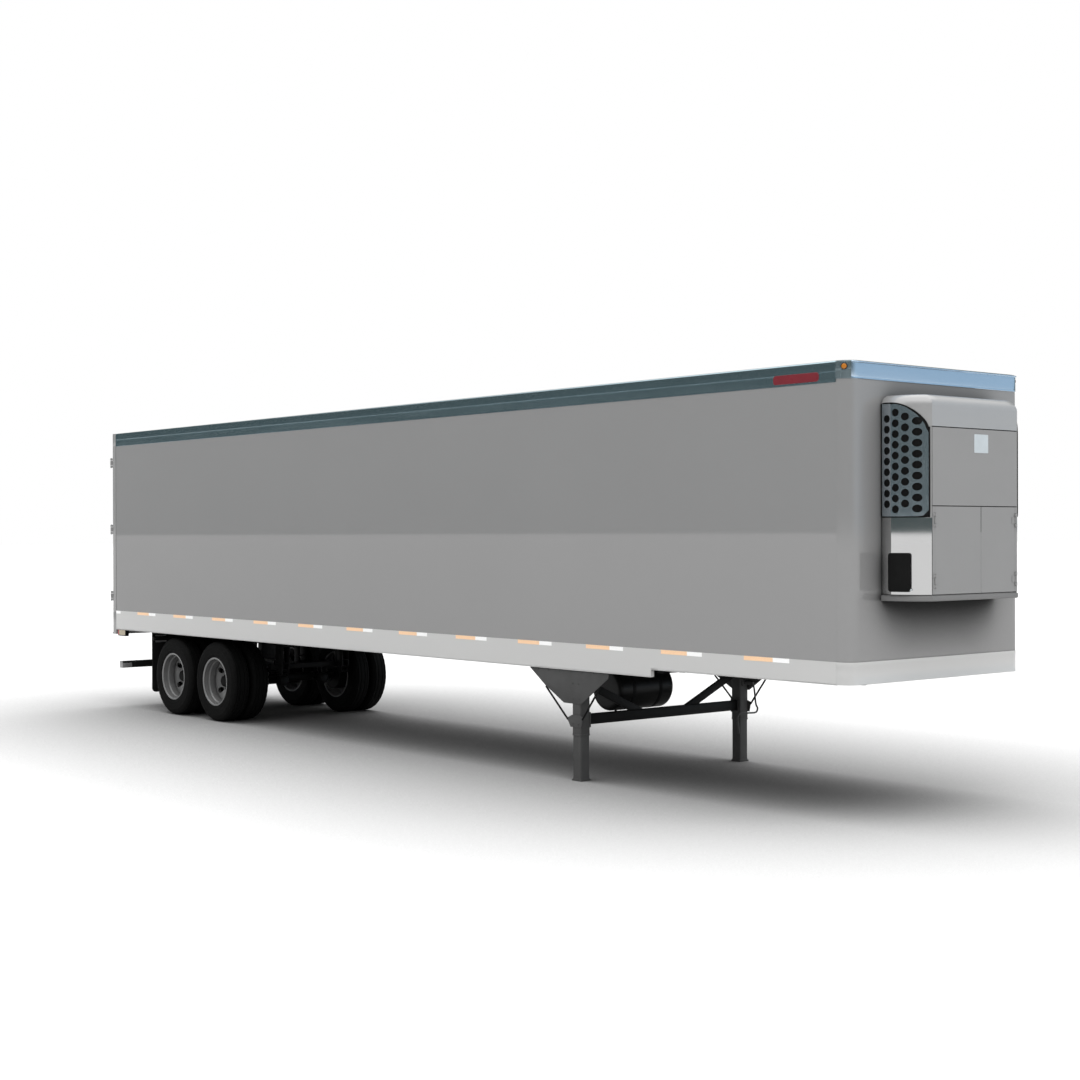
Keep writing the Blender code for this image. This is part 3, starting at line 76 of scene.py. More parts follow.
class Graph:
    """The nodes of a material or of the world."""

    def __init__(self, owner):
        owner.use_nodes = True
        self.nodes, self.links = owner.node_tree.nodes, owner.node_tree.links

    def put(self, socket, value):
        """A number, a colour or another node's output into a socket."""
        if isinstance(value, bpy.types.NodeSocket):
            self.links.new(value, socket)
        else:
            socket.default_value = (*value, 1) if socket.type == "RGBA" else value

    def node(self, kind, output, inputs=(), **settings):
        """The output of a new node, whose inputs are pairs of a socket and its value."""
        made = self.nodes.new("ShaderNode" + kind)
        for name, value in settings.items():
            setattr(made, name, value)
        for socket, value in inputs:
            self.put(made.inputs[socket], value)
        return made.outputs[output]

    def noise(self, scale, stretch=(1, 1, 1)):
        place = self.node("Mapping", "Vector", (("Vector", self.node("TexCoord", "Object")),
                                                ("Scale", stretch)))
        return self.node("TexNoise", "Fac", (("Vector", place), ("Scale", scale), ("Detail", 4.0)))

    def ramp(self, value, low, high, start=0.0, end=1.0):
        """The value's range low to high, brought to start to end."""
        ends = (("From Min", low), ("From Max", high), ("To Min", start), ("To Max", end))
        return self.node("MapRange", "Result", (("Value", value), *ends))

    def blend(self, factor, first, second):
        return self.node("Mix", 2, (("Factor", factor), (6, first), (7, second)), data_type="RGBA")

    def combine(self, operation, first, second):
        return self.node("Math", "Value", ((0, first), (1, second)), operation=operation)


DUST = (0.22, 0.21, 0.19)
DUST_TOP = 0.5
# the colour that painted shade darkens a surface towards
SHADE = (0.01, 0.01, 0.01)


def surface(name, colour, roughness, metallic=0.0, specular=0.5, spread=0.05, scale=2.0, stretch=(1, 1, 1),
            grain=0.0, grain_scale=300.0, rough_spread=0.03, dust=0.0, shade=0.0, shade_below=None):
    """A painted or bare surface with soft colour variation, fine grain and, low down, some dust.

    Painted shade darkens its colour where other parts stand close over it, more so below a height.
    """
    made = bpy.data.materials.new(name)
    graph = Graph(made)
    if isinstance(colour, float):
        colour = (colour, colour, colour)
    dark, light = (tuple(channel * (1 + change) for channel in colour) for change in (-spread, spread))
    tone = graph.blend(graph.ramp(graph.noise(scale, stretch), 0.3, 0.7), dark, light)
    height = graph.node("SeparateXYZ", "Z", (("Vector", graph.node("NewGeometry", "Position")),))
    if dust:
        low = graph.ramp(height, 0.0, DUST_TOP, dust, 0.0)
        tone = graph.blend(graph.combine("MULTIPLY", low, graph.noise(9.0)), tone, DUST)
    # painted shade: ambient occlusion darkens the colour where other parts are close
    if shade:
        near = graph.node("AmbientOcclusion", "AO", (("Distance", 0.6),), samples=24)
        tone = graph.blend(graph.ramp(near, 0.25, 0.95, shade, 0.0), tone, SHADE)
    # more painted shade below a height, where other parts stand close over it
    if shade_below:
        low = graph.ramp(height, shade_below, shade_below + 0.08, shade, 0.0)
        close = graph.ramp(near, 0.6, 0.98, 1.0, 0.0)
        tone = graph.blend(graph.combine("MULTIPLY", low, close), tone, SHADE)
    patches = graph.noise(scale * 4, stretch)
    smooth, rough = max(roughness - rough_spread, 0.02), roughness + rough_spread
    shader = graph.nodes["Principled BSDF"].inputs
    graph.put(shader["Base Color"], tone)
    graph.put(shader["Metallic"], metallic)
    graph.put(shader["Specular IOR Level"], specular)
    graph.put(shader["Roughness"], graph.ramp(patches, 0.3, 0.7, smooth, rough))
    if grain:
        height = graph.noise(grain_scale, stretch)
        bump = graph.node("Bump", "Normal", (("Strength", grain), ("Distance", 0.001), ("Height", height)))
        graph.put(shader["Normal"], bump)
    return made


LOOKS = {
    "cap_teal": surface("corner_cap_teal", (0.26, 0.32, 0.345), 0.25, 0.85, 0.2, 0.08, 5.0, (4, 4, 0.3)),
    "frame_post": surface("rear_post_aluminium", 0.3, 0.12, 0.16, 0.1, 0.03, 2.0, rough_spread=0.01),
    "marker_amber": surface("marker_amber", (0.42, 0.15, 0.015), 0.15, 0.0, 0.4, 0.1, 30.0),
    "lens_pale": surface("lens_pale_amber", (0.36, 0.31, 0.22), 0.15, 0.0, 0.4, 0.12, 40.0, grain=0.3,
                         grain_scale=80.0),
    "galvanised": surface("galvanised_steel", 0.2, 0.45, 0.4, 0.3, 0.1, 9.0, grain=0.1),
    "tank_black": surface("tank_black", 0.006, 0.35, 0.0, 0.18, 0.15, 3.0, (1, 4, 1), rough_spread=0.05),
    "guard_black": surface("guard_black", 0.008, 0.5, 0.0, 0.2, 0.2, 6.0, grain=0.15, dust=0.05),
    "guard_plate": surface("guard_plate", 0.3, 0.35, 0.3, 0.3, 0.08, 9.0, grain=0.05),
    "liner": surface("white_liner", (0.62, 0.62, 0.6), 0.4, 0.0, 0.3, 0.02, 4.0),
    "side_skin": surface("panel_aluminium", 0.276, 0.022, 0.19, 0.0, 0.012, 0.6, rough_spread=0.003),
    # the nose wall's colour has painted shade under and beside the cooling unit
    "nose_skin": surface("nose_aluminium_painted_shade", 0.276, 0.06, 0.19, 0.0, 0.012, 0.6, rough_spread=0.01, shade=0.9,
                         shade_below=2.0),
    "hood": surface("hood_grey", 0.285, 0.22, 0.0, 1.0, 0.015, 2.0, rough_spread=0.02),
    "lip_grey": surface("unit_lip_grey", 0.175, 0.5, 0.05, 0.15, 0.02, 2.0),
    "dark_steel": surface("dark_steel", 0.007, 0.5, 0.0, 0.12, 0.2, 6.0, grain=0.15, dust=0.05),
    "rim_lip": surface("rim_lip_aluminium", 0.21, 0.4, 0.3, 0.3, 0.06, 6.0, grain=0.06, dust=0.06),
    "rim_disc": surface("rim_disc_aluminium", 0.17, 0.42, 0.3, 0.2, 0.1, 6.0, grain=0.1, dust=0.12),
    "roof_skin": surface("roof_aluminium", 0.42, 0.35, 0.3, 0.2, 0.04, 1.2),
    "bottom_rail": surface("base_rail_aluminium", (0.535, 0.535, 0.53), 0.32, 0.15, 0.1, 0.015, 1.0,
                           (0.2, 1, 1)),
    "side_top_rail": surface("top_rail_teal", (0.34, 0.43, 0.47), 0.16, 0.96, 0.2, 0.05, 1.5, (0.15, 1, 3),
                             rough_spread=0.02),
    "front_top_rail": surface("top_rail_blue", (0.4, 0.5, 0.6), 0.12, 0.9, 0.2, 0.03, 1.5, (1, 0.15, 3),
                              rough_spread=0.02),
    "rear_frame": surface("frame_steel", (0.2, 0.205, 0.21), 0.42, 0.3, 0.3, 0.06, 3.0, grain=0.1),
    "floor": surface("floor_aluminium", (0.33, 0.33, 0.32), 0.45, 0.5, 0.3, 0.08, 5.0, (0.1, 3, 1),
                     grain=0.1),
    "chassis": surface("chassis_black", 0.006, 0.55, 0.0, 0.1, 0.25, 6.0, grain=0.2, dust=0.03),
    "leg_steel": surface("leg_paint", 0.066, 0.5, 0.0, 0.2, 0.1, 5.0, grain=0.15, dust=0.03),
    "tyre": surface("tyre_rubber", 0.003, 0.75, 0.0, 0.09, 0.2, 8.0, grain=0.35, grain_scale=220.0,
                    dust=0.02),
    "rim": surface("wheel_aluminium", 0.42, 0.38, 0.5, 0.3, 0.08, 6.0, grain=0.08, dust=0.1),
    "rubber": surface("flap_rubber", 0.009, 0.7, 0.0, 0.15, 0.2, 7.0, grain=0.3, dust=0.05),
    "unit_grey": surface("unit_panel_grey", 0.253, 0.5, 0.05, 0.15, 0.015, 2.0, rough_spread=0.04),
    "grille": surface("grille_metal", (0.44, 0.49, 0.53), 0.06, 0.9, 0.2, 0.03, 3.0, rough_spread=0.02),
    "corner_metal": surface("corner_panel_metal", 0.475, 0.025, 0.96, 0.2, 0.012, 1.5, rough_spread=0.003),
    "black": surface("control_black", 0.004, 0.45, 0.0, 0.12, 0.2, 9.0, grain=0.1),
    "seam": surface("seam_black", 0.004, 0.6, 0.0, 0.1, 0.2, 9.0),
    "engine": surface("engine_iron", 0.12, 0.55, 0.5, 0.3, 0.2, 12.0, grain=0.3),
    "amber": surface("lens_amber", (0.55, 0.2, 0.02), 0.12, 0.0, 0.5, 0.1, 30.0, grain=0.2, grain_scale=90.0),
    "red": surface("lens_red", (0.3, 0.012, 0.012), 0.12, 0.0, 0.5, 0.1, 30.0, grain=0.2, grain_scale=90.0),
    "plate_red": surface("plate_red", (0.16, 0.012, 0.02), 0.3, 0.0, 0.4, 0.08, 9.0),
    "plate_pale": surface("plate_pale", (0.5, 0.54, 0.56), 0.35, 0.2, 0.3, 0.04, 9.0),
    "tape_white": surface("tape_white", 0.92, 0.35, 0.0, 0.3, 0.02, 60.0, grain=0.2, grain_scale=500.0),
    "tape_orange": surface("tape_orange", (0.9, 0.6, 0.38), 0.35, 0.0, 0.3, 0.03, 60.0, grain=0.2,
                           grain_scale=500.0),
    "zinc": surface("zinc_steel", (0.45, 0.45, 0.44), 0.34, 0.8, 0.4, 0.08, 14.0, grain=0.1),
}


# Building meshes

def shape(build, part, bevel=0.0, segments=2, place=None):
    """Adds a part to the mesh that is being built, with its edges rounded, moved by a matrix."""
    if bevel:
        sharp = [e for e in part.edges if len(e.link_faces) == 2 and e.calc_face_angle(0) > math.radians(25)]
        bmesh.ops.bevel(part, geom=sharp, offset=bevel, segments=segments, profile=0.5, affect="EDGES",
                        clamp_overlap=True)
    if place is not None:
        bmesh.ops.transform(part, matrix=place, verts=part.verts)
    data = bpy.data.meshes.new("part")
    part.to_mesh(data)
    part.free()
    build.from_mesh(data)
    bpy.data.meshes.remove(data)


def block(build, low, high, bevel=0.003, segments=2):
    low, high = Vector(low), Vector(high)
    part = bmesh.new()
    bmesh.ops.create_cube(part, size=1)
    bmesh.ops.scale(part, vec=high - low, verts=part.verts)
    bmesh.ops.translate(part, vec=(low + high) / 2, verts=part.verts)
    shape(build, part, bevel, segments)


def block_on(build, side, low, high, bevel=0.003, segments=2):
    """A block given on the left side, put on either side."""
    across = sorted((side * low[1], side * high[1]))
    block(build, (low[0], across[0], low[2]), (high[0], across[1], high[2]), bevel, segments)


def blocks(build, rows, sides=(1,)):
    """Blocks from rows of two corners, then a bevel and its segments, given on the left side."""
    for side in sides:
        for row in rows:
            block_on(build, side, row[:3], row[3:6], *row[6:])


def aim(start, end):
    """A matrix that puts the origin at start and +Z towards end."""
    start, end = Vector(start), Vector(end)
    return Matrix.Translation(start) @ (end - start).to_track_quat("Z", "Y").to_matrix().to_4x4()


def bar(build, start, end, radius, sides=20, bevel=0.0):
    part = bmesh.new()
    length = (Vector(end) - Vector(start)).length
    bmesh.ops.create_cone(part, cap_ends=True, segments=sides, depth=length, radius1=radius, radius2=radius)
    bmesh.ops.translate(part, vec=(0, 0, length / 2), verts=part.verts)
    shape(build, part, bevel, 2, aim(start, end))


def circle(radius, steps, centre=(0.0, 0.0), first=0.0, tall=None):
    """Points round a circle, or round an oval where tall is its other half size."""
    angles = [first + 2 * math.pi * i / steps for i in range(steps)]
    return [(centre[0] + radius * math.cos(a), centre[1] + (tall or radius) * math.sin(a)) for a in angles]


def bridge(part, rows, closed=True):
    """Faces between each two neighbouring rows, which are loops, or lines where they aren't closed."""
    for a, b in zip(rows, rows[1:]):
        for i in range(len(a) if closed else len(a) - 1):
            j = (i + 1) % len(a)
            part.faces.new((a[i], a[j], b[j], b[i]))


def turned(build, profile, steps, centre, out, shift=None):
    """A profile of (radius, height) turned about a line through a centre, with its heights along out.

    Shift may move a point in and along by its row and step.
    """
    part = bmesh.new()
    rings = []
    for row, (radius, height) in enumerate(profile):
        if radius < 1e-6:
            rings.append([part.verts.new((0, 0, height))])
            continue
        ring = []
        for i in range(steps):
            angle = 2 * math.pi * i / steps
            deeper, along = shift(row, i) if shift else (0, 0)
            reach = radius - deeper
            ring.append(part.verts.new((reach * math.cos(angle), reach * math.sin(angle), height + along)))
        rings.append(ring)
    closed = profile[0][0] > 1e-6 and profile[-1][0] > 1e-6
    for a, b in zip(rings, rings[1:] + (rings[:1] if closed else [])):
        for i in range(steps):
            j = (i + 1) % steps
            corners = (a[i % len(a)], a[j % len(a)], b[j % len(b)], b[i % len(b)])
            face = list(dict.fromkeys(corners))
            if len(face) > 2:
                part.faces.new(face)
    shape(build, part, 0, 0, aim(centre, Vector(centre) + Vector(out)))


def pushed(build, outline, low, high, across, bevel=0.002, segments=2):
    """A flat outline pushed out along one axis."""
    axis = "XYZ".index(across)
    push = Vector()
    push[axis] = high - low
    part = bmesh.new()
    corners = []
    for point in outline:
        place = list(point)
        place.insert(axis, low)
        corners.append(part.verts.new(place))
    face = part.faces.new(corners)
    grown = bmesh.ops.extrude_face_region(part, geom=[face])
    moved = [v for v in grown["geom"] if isinstance(v, bmesh.types.BMVert)]
    bmesh.ops.translate(part, vec=push, verts=moved)
    bmesh.ops.recalc_face_normals(part, faces=part.faces)
    shape(build, part, bevel, segments)


def smooth_line(points, steps):
    """Points on a smooth curve through the given ones."""
    points = [Vector(p) for p in points]
    padded = [points[0] * 2 - points[1]] + points + [points[-1] * 2 - points[-2]]
    line = []
    for a, b, c, d in zip(padded, padded[1:], padded[2:], padded[3:]):
        for i in range(steps):
            t = i / steps
            line.append(0.5 * ((2 * b) + (c - a) * t + (2 * a - 5 * b + 4 * c - d) * t * t
                               + (3 * b - a - 3 * c + d) * t * t * t))
    return line + [points[-1]]


def pipe(build, line, radius, sides=12):
    """A round bar along a line of points."""
    part = bmesh.new()
    line = [Vector(p) for p in line]
    rings = []
    across = None
    for i, point in enumerate(line):
        along = (line[min(i + 1, len(line) - 1)] - line[max(i - 1, 0)]).normalized()
        if across is None:
            across = along.orthogonal().normalized()
        across = (across - along * across.dot(along)).normalized()
        other = along.cross(across)
        rings.append([part.verts.new(point + across * u + other * v) for u, v in circle(radius, sides)])
    bridge(part, rings)
    part.faces.new(rings[0][::-1])
    part.faces.new(rings[-1])
    shape(build, part)


def inside(point, loop):
    found = False
    x, y = point
    for (ax, ay), (bx, by) in zip(loop, loop[1:] + loop[:1]):
        if (ay > y) != (by > y) and x < (bx - ax) * (y - ay) / (by - ay) + ax:
            found = not found
    return found


def close_points(loop, step=0.02):
    """A closed outline with more points along its long sides, so that it bends with a round face."""
    points = []
    for (a, b), (c, d) in zip(loop, loop[1:] + loop[:1]):
        count = max(int(math.hypot(c - a, d - b) / step), 1)
        points += [(a + (c - a) * i / count, b + (d - b) * i / count) for i in range(count)]
    return points


def pierced(build, outline, holes, inner, lift, thickness, step=0.02):
    """A sheet with holes. Lift gives the place of a flat point at a height over the sheet's back."""
    outline = close_points(outline, step)
    points, edges = [], []
    for loop in [outline] + holes:
        first = len(points)
        points += [Vector(p) for p in loop]
        edges += [(first + i, first + (i + 1) % len(loop)) for i in range(len(loop))]

    def solid(point):
        return inside(point, outline) and not any(
            abs(point[0] - hole[0][0]) < 0.2 and inside(point, hole) for hole in holes
        )

    points += [Vector(p) for p in inner if solid(p)]
    found, _, faces, *_ = delaunay_2d_cdt(points, edges, [], 0, 1e-7)
    kept = []
    for face in faces:
        middle = sum((found[i] for i in face), Vector((0, 0))) / len(face)
        if solid(tuple(middle)):
            kept.append(face)
    part = bmesh.new()
    low = {}
    high = {}
    for i in {i for face in kept for i in face}:
        low[i] = part.verts.new(lift(found[i].x, found[i].y, 0.0))
        high[i] = part.verts.new(lift(found[i].x, found[i].y, thickness))
    ends = {(face[i], face[(i + 1) % len(face)]) for face in kept for i in range(len(face))}
    for face in kept:
        part.faces.new([high[i] for i in face])
        part.faces.new([low[i] for i in reversed(face)])
    for a, b in ends:
        if (b, a) not in ends:
            part.faces.new((high[b], high[a], low[a], low[b]))
    shape(build, part)


def bolt(build, place, out, size=0.012):
    """A hexagon head on a washer, its top away from the place along out."""
    place, out = Vector(place), Vector(out).normalized()
    bar(build, place - out * 0.002, place + out * size * 0.15, size * 1.15, 14)
    bar(build, place, place + out * size * 0.8, size * 0.9, 6, size * 0.08)


def bend_normals(data):
    """The true normals of the cooling unit's rounded corners, for sheets that lie on them."""
    centre = Vector((REAR_X + BODY_LENGTH + SIDE_RUN, UNIT_HALF - TURN_RADIUS))
    normals = []
    for face in data.polygons:
        for i in face.vertices:
            place = data.vertices[i].co
            side = 1 if place.y > 0 else -1
            out = Vector((max(place.x - centre.x, 0.0), side * (abs(place.y) - centre.y), 0.0)).normalized()
            along = out.dot(face.normal)
            normals.append(out * (1 if along > 0 else -1) if abs(along) > 0.97 else face.normal.copy())
    data.normals_split_custom_set(normals)


def piece(name, build, look, body="trailer", stands_for=(), crease=32, bent=False):
    """The finished mesh as an object that rides on a body."""
    bmesh.ops.recalc_face_normals(build, faces=build.faces)
    for face in build.faces:
        face.smooth = True
    limit = math.radians(crease)
    for edge in build.edges:
        if len(edge.link_faces) == 2 and edge.calc_face_angle(0) > limit:
            edge.smooth = False
    data = bpy.data.meshes.new(name)
    build.to_mesh(data)
    build.free()
    data.transform(Matrix.Translation((REAR_X, 0, 0)))
    data.materials.append(LOOKS[look])
    if bent:
        bend_normals(data)
    obj = bpy.data.objects.new(name, data)
    bpy.context.scene.collection.objects.link(obj)
    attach(obj, body)
    if stands_for:
        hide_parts(*stands_for)


def arc(centre, radius, start, end, steps):
    for i in range(steps + 1):
        angle = math.radians(start + (end - start) * i / steps)
        yield (centre[0] + radius * math.cos(angle), centre[1] + radius * math.sin(angle))


# Body

def nose_line(inset, steps=20):
    """The body's plan round its nose, from the right side's end to the left one's."""
    half, front = HALF_WIDTH - inset, BODY_LENGTH - inset
    radius = CORNER_RADIUS - inset
    line = [(SIDE_FRONT_X, -half)]
    line += arc((front - radius, -half + radius), radius, -90, 0, steps)
    line += arc((front - radius, half - radius), radius, 0, 90, steps)
    return line + [(SIDE_FRONT_X, half)]


def corner_line(side, start, end, steps=12):
    """The part of the nose's plan from one angle of a corner to another."""
    def line(inset):
        centre = (SIDE_FRONT_X, side * (HALF_WIDTH - CORNER_RADIUS))
        return list(arc(centre, CORNER_RADIUS - inset, side * start, side * end, steps))
    return line


def front_line(inset):
    return corner_line(-1, CAP_END, 0, 8)(inset) + corner_line(1, 0, CAP_END, 8)(inset)


def nose_band(build, section, line=nose_line):
    """A closed section of (inset, height) carried round the nose."""
    part = bmesh.new()
    rows = []
    for inset, height in section:
        rows.append([part.verts.new((x, y, height)) for x, y in line(inset)])
    bridge(part, rows + rows[:1], closed=False)
    part.faces.new([row[0] for row in rows])
    part.faces.new([row[-1] for row in rows][::-1])
    bmesh.ops.remove_doubles(part, verts=part.verts, dist=1e-6)
    shape(build, part)


FRONT_RAIL_BOTTOM = 3.9715
CAP_END = 34  # the angle round the corner where the cap ends
RAIL_SECTION = (
    (0.07, RAIL_BOTTOM), (0.002, RAIL_BOTTOM), (0.0, RAIL_BOTTOM + 0.002), (0.0, 4.034), (0.003, 4.037),
    (0.003, 4.04), (0.0, 4.043), (0.0, 4.118), (0.003, 4.127), (0.01, 4.133), (0.02, BODY_TOP),
    (0.07, BODY_TOP),
)


def build_body():
    build = bmesh.new()
    wall_bottom, wall_top = TAPE_TOP + GAP, FRONT_RAIL_BOTTOM - GAP
    nose_band(build, ((SKIN_INSET, wall_bottom), (SKIN_INSET, wall_top), (0.07, wall_top),
                      (0.07, wall_bottom)))
    piece("nose_wall", build, "nose_skin", stands_for=("front_wall",))

    build = bmesh.new()
    section = (
        (0.06, FRONT_RAIL_BOTTOM), (0.002, FRONT_RAIL_BOTTOM), (0.0, FRONT_RAIL_BOTTOM + 0.003),
        (0.0, FRONT_RAIL_BOTTOM + 0.016), (0.004, FRONT_RAIL_BOTTOM + 0.02), (0.001, 4.04), (0.0, 4.108),
        (0.0, 4.112), (-0.01, 4.115), (-0.012, 4.1175), (-0.012, 4.1235), (-0.008, 4.127), (0.004, 4.131),
        (0.02, BODY_TOP), (0.06, BODY_TOP),
    )
    nose_band(build, section, front_line)
    piece("nose_top_rail", build, "front_top_rail", stands_for=("top_rail_front",))
    low = FRONT_RAIL_BOTTOM + GAP
    cap = (
        (0.06, low), (0.002, low), (-0.0015, low + 0.004), (-0.0015, 4.052), (0.001, 4.055), (0.001, 4.058),
        (-0.0015, 4.061), (-0.0015, 4.118), (0.002, 4.13), (0.02, BODY_TOP), (0.06, BODY_TOP),
    )
    for word, side in SIDES:
        build = bmesh.new()
        nose_band(build, cap, corner_line(side, 90, CAP_END))
        piece("corner_cap_" + word, build, "cap_teal")
        build = bmesh.new()
        angle = math.radians(58)
        out = Vector((math.cos(angle), side * math.sin(angle), 0))
        spot = Vector((SIDE_FRONT_X, side * (HALF_WIDTH - CORNER_RADIUS), 4.08)) + out * 0.1515
        turned(build, ((0.0, -0.004), (0.03, -0.004), (0.03, 0.003), (0.024, 0.005), (0.0, 0.005)), 28,
               spot, out)
        piece("marker_base_" + word, build, "black")
        build = bmesh.new()
        turned(build, ((0.0, 0.0), (0.0235, 0.0), (0.0235, 0.006), (0.02, 0.009), (0.012, 0.0105),
                       (0.0, 0.011)), 28, spot, out)
        piece("marker_lens_" + word, build, "marker_amber")

    build = bmesh.new()
    section = (
        (0.044, 1.2415), (0.002, 1.2415), (0.0, 1.2435), (0.0, 1.256), (0.001, 1.258), (0.001, 1.4),
        (0.0, 1.402), (0.0, 1.443), (0.003, 1.4455), (0.044, 1.4455),
    )
    nose_band(build, section)
    piece("nose_bottom_rail", build, "bottom_rail", stands_for=("bottom_rail_front",))

    for word, side in SIDES:
        build = bmesh.new()
        outline = [(side * (HALF_WIDTH - inset), z) for inset, z in RAIL_SECTION]
        pushed(build, outline, 0.0, SIDE_FRONT_X - GAP, "X", 0)
        piece("top_rail_profile_" + word, build, "side_top_rail", stands_for=("top_rail_" + word,))

        white, orange = bmesh.new(), bmesh.new()
        tape = [(white, 0.004, 0.146)]
        for k in range(TAPE_COUNT):
            end = TAPE_FRONT - k * TAPE_STEP
            tape += [(white, end - 0.205, end), (orange, end - 0.5705, end - 0.2055)]
        for build, low, high in tape:
            block_on(build, side, (low, HALF_WIDTH - 0.002, 1.405), (high, HALF_WIDTH + 0.0006, 1.4455), 0)
        piece("tape_white_" + word, white, "tape_white")
        piece("tape_orange_" + word, orange, "tape_orange")

        build = bmesh.new()
        for low_x, high_x, z in ((0.0, 11.8, 1.166), (11.8, SIDE_FRONT_X, 1.241)):
            blocks(build, (
                (low_x, HALF_WIDTH - 0.006, z, high_x, HALF_WIDTH, z + 0.012, 0.002),
                (low_x, HALF_WIDTH - 0.03, z - 0.003, high_x, HALF_WIDTH, z - 0.0003, 0),
            ), (side,))
        piece("bottom_rail_edge_" + word, build, "bottom_rail")


# Cooling unit

SIDE_RUN = 0.015
TURN_RADIUS = 0.46506
TURN_ANGLE = math.radians(55.555)
UNIT_HALF = 0.838
SIDE_LENGTH = SIDE_RUN + TURN_RADIUS * TURN_ANGLE
UNIT_TOP = 3.838
UNIT_TOP_RADIUS = 0.11
HOOD_SEAM = 3.551
DOOR_TOP = 2.838
BASE_TOP = 2.039
CREASE_HALF = 0.636
UNIT_HINGE_X = UNIT_FRONT + 0.012
UNIT_HINGES = (2.165, 2.712)


def unit_side(distance, out):
    """A place on the unit's left side, in plan, at a distance from the wall along it."""
    if distance <= SIDE_RUN:
        return (BODY_LENGTH + distance, UNIT_HALF + out)
    angle = (distance - SIDE_RUN) / TURN_RADIUS
    reach = TURN_RADIUS + out
    return (BODY_LENGTH + SIDE_RUN + reach * math.sin(angle),
            UNIT_HALF - TURN_RADIUS + reach * math.cos(angle))


def on_side(side, base=GAP):
    def lift(distance, height, out):
        x, y = unit_side(distance, base + out)
        return (x, side * y, height)
    return lift


def on_front(base=GAP):
    def lift(y, z, out):
        return (UNIT_FRONT + base + out, y, z)
    return lift


GRILLE_TOP_LINE = ((0.006, 3.76), (0.072, 3.76), (0.1525, 3.754), (0.237, 3.728), (0.3265, 3.675),
                   (0.397, 3.61), (0.43, 3.552), (0.442, 3.49))
GRILLE_EDGE = 0.442
GRILLE_BOTTOM = 2.745
GRILLE_CORNER = 0.055


def grille_outline(grow=0.0):
    top = [(s, z) for s, z in smooth_line(GRILLE_TOP_LINE, 4)]
    centre = (GRILLE_EDGE - GRILLE_CORNER, GRILLE_BOTTOM + GRILLE_CORNER)
    loop = top + list(arc(centre, GRILLE_CORNER, 0, -90, 6)) + [(0.006, GRILLE_BOTTOM)]
    if not grow:
        return loop
    middle = (0.16, 3.25)
    grown = []
    for i, (s, z) in enumerate(loop):
        before, after = loop[i - 1], loop[(i + 1) % len(loop)]
        normal = Vector((-(after[1] - before[1]), after[0] - before[0])).normalized()
        if normal.dot(Vector((s - middle[0], z - middle[1]))) < 0:
            normal.negate()
        grown.append((max(s + normal.x * grow, 0.004), z + normal.y * grow))
    return grown


def grid(low, high, step_u, step_v):
    count_u = max(int((high[0] - low[0]) / step_u), 1)
    count_v = max(int((high[1] - low[1]) / step_v), 1)
    return [(low[0] + (high[0] - low[0]) * (i + 0.5) / count_u,
             low[1] + (high[1] - low[1]) * (j + 0.5) / count_v)
            for i in range(count_u) for j in range(count_v)]


def build_grilles():
    columns = ((0.0625, 0.061, 9, 3.62, 2.855), (0.144, 0.064, 10, 3.674, 2.809),
               (0.231, 0.07, 9, 3.636, 2.859), (0.335, 0.089, 9, 3.595, 2.814))
    holes = []
    for s, wide, count, top, bottom in columns:
        for k in range(count):
            middle = (s, top + (bottom - top) * k / (count - 1))
            holes.append(circle(wide / 2, 18, middle, tall=0.035))
    for word, side in SIDES:
        build = bmesh.new()
        pierced(build, grille_outline(), holes, grid((0.0, 2.74), (0.45, 3.76), 0.0301, 0.0479),
                on_side(side, 0.009), 0.004)
        piece("grille_" + word, build, "grille", stands_for=("unit_grille_" + word,), bent=True)
        build = bmesh.new()
        pierced(build, grille_outline(0.002), [grille_outline(-0.005)], [], on_side(side, 0.0005), 0.0145)
        piece("grille_seal_" + word, build, "black")
        build = bmesh.new()
        for s in (0.01 + 0.0456 * i for i in range(10)):
            bottom = Vector(on_side(side, 0.001)(s, GRILLE_BOTTOM + 0.02, 0))
            limit = 3.74 if s < 0.2 else (3.64 if s < 0.35 else 3.45)
            top = Vector(on_side(side, 0.001)(s, limit, 0))
            bar(build, bottom, top, 0.003, 6)
        piece("grille_screen_" + word, build, "seam")


def hood_ring(out, count_arc=14, count_front=14):
    """The unit's plan pushed out by a thickness, from the wall on the left to the wall on the right."""
    line = [unit_side(SIDE_RUN * i / 3, out) for i in range(3)]
    line += [unit_side(SIDE_RUN + (SIDE_LENGTH - SIDE_RUN) * i / count_arc, out) for i in range(count_arc)]
    last = (UNIT_FRONT + out, unit_side(SIDE_LENGTH, out)[1])
    line[0] = (BODY_LENGTH - 0.0035, line[0][1])
    half = line + [last]
    front = [(last[0], last[1] * (1 - 2 * i / count_front)) for i in range(1, count_front)]
    return half + front + [(x, -y) for x, y in reversed(half)]


def hood_low(x, y):
    """The hood's lower edge: over the grille's curve at the sides, at the seam in front."""
    y = abs(y)
    if y <= CREASE_HALF + 0.002:
        return HOOD_SEAM
    run = x - BODY_LENGTH
    s = run
    if run > SIDE_RUN:
        s = SIDE_RUN + TURN_RADIUS * math.asin(min((run - SIDE_RUN) / TURN_RADIUS, 1))
    line = grille_outline(0.0075)[:29]
    for (a, za), (b, zb) in zip(line, line[1:]):
        if a <= s <= b:
            return za + (zb - za) * (s - a) / (b - a)
    return line[0][1] if s < line[0][0] else HOOD_SEAM


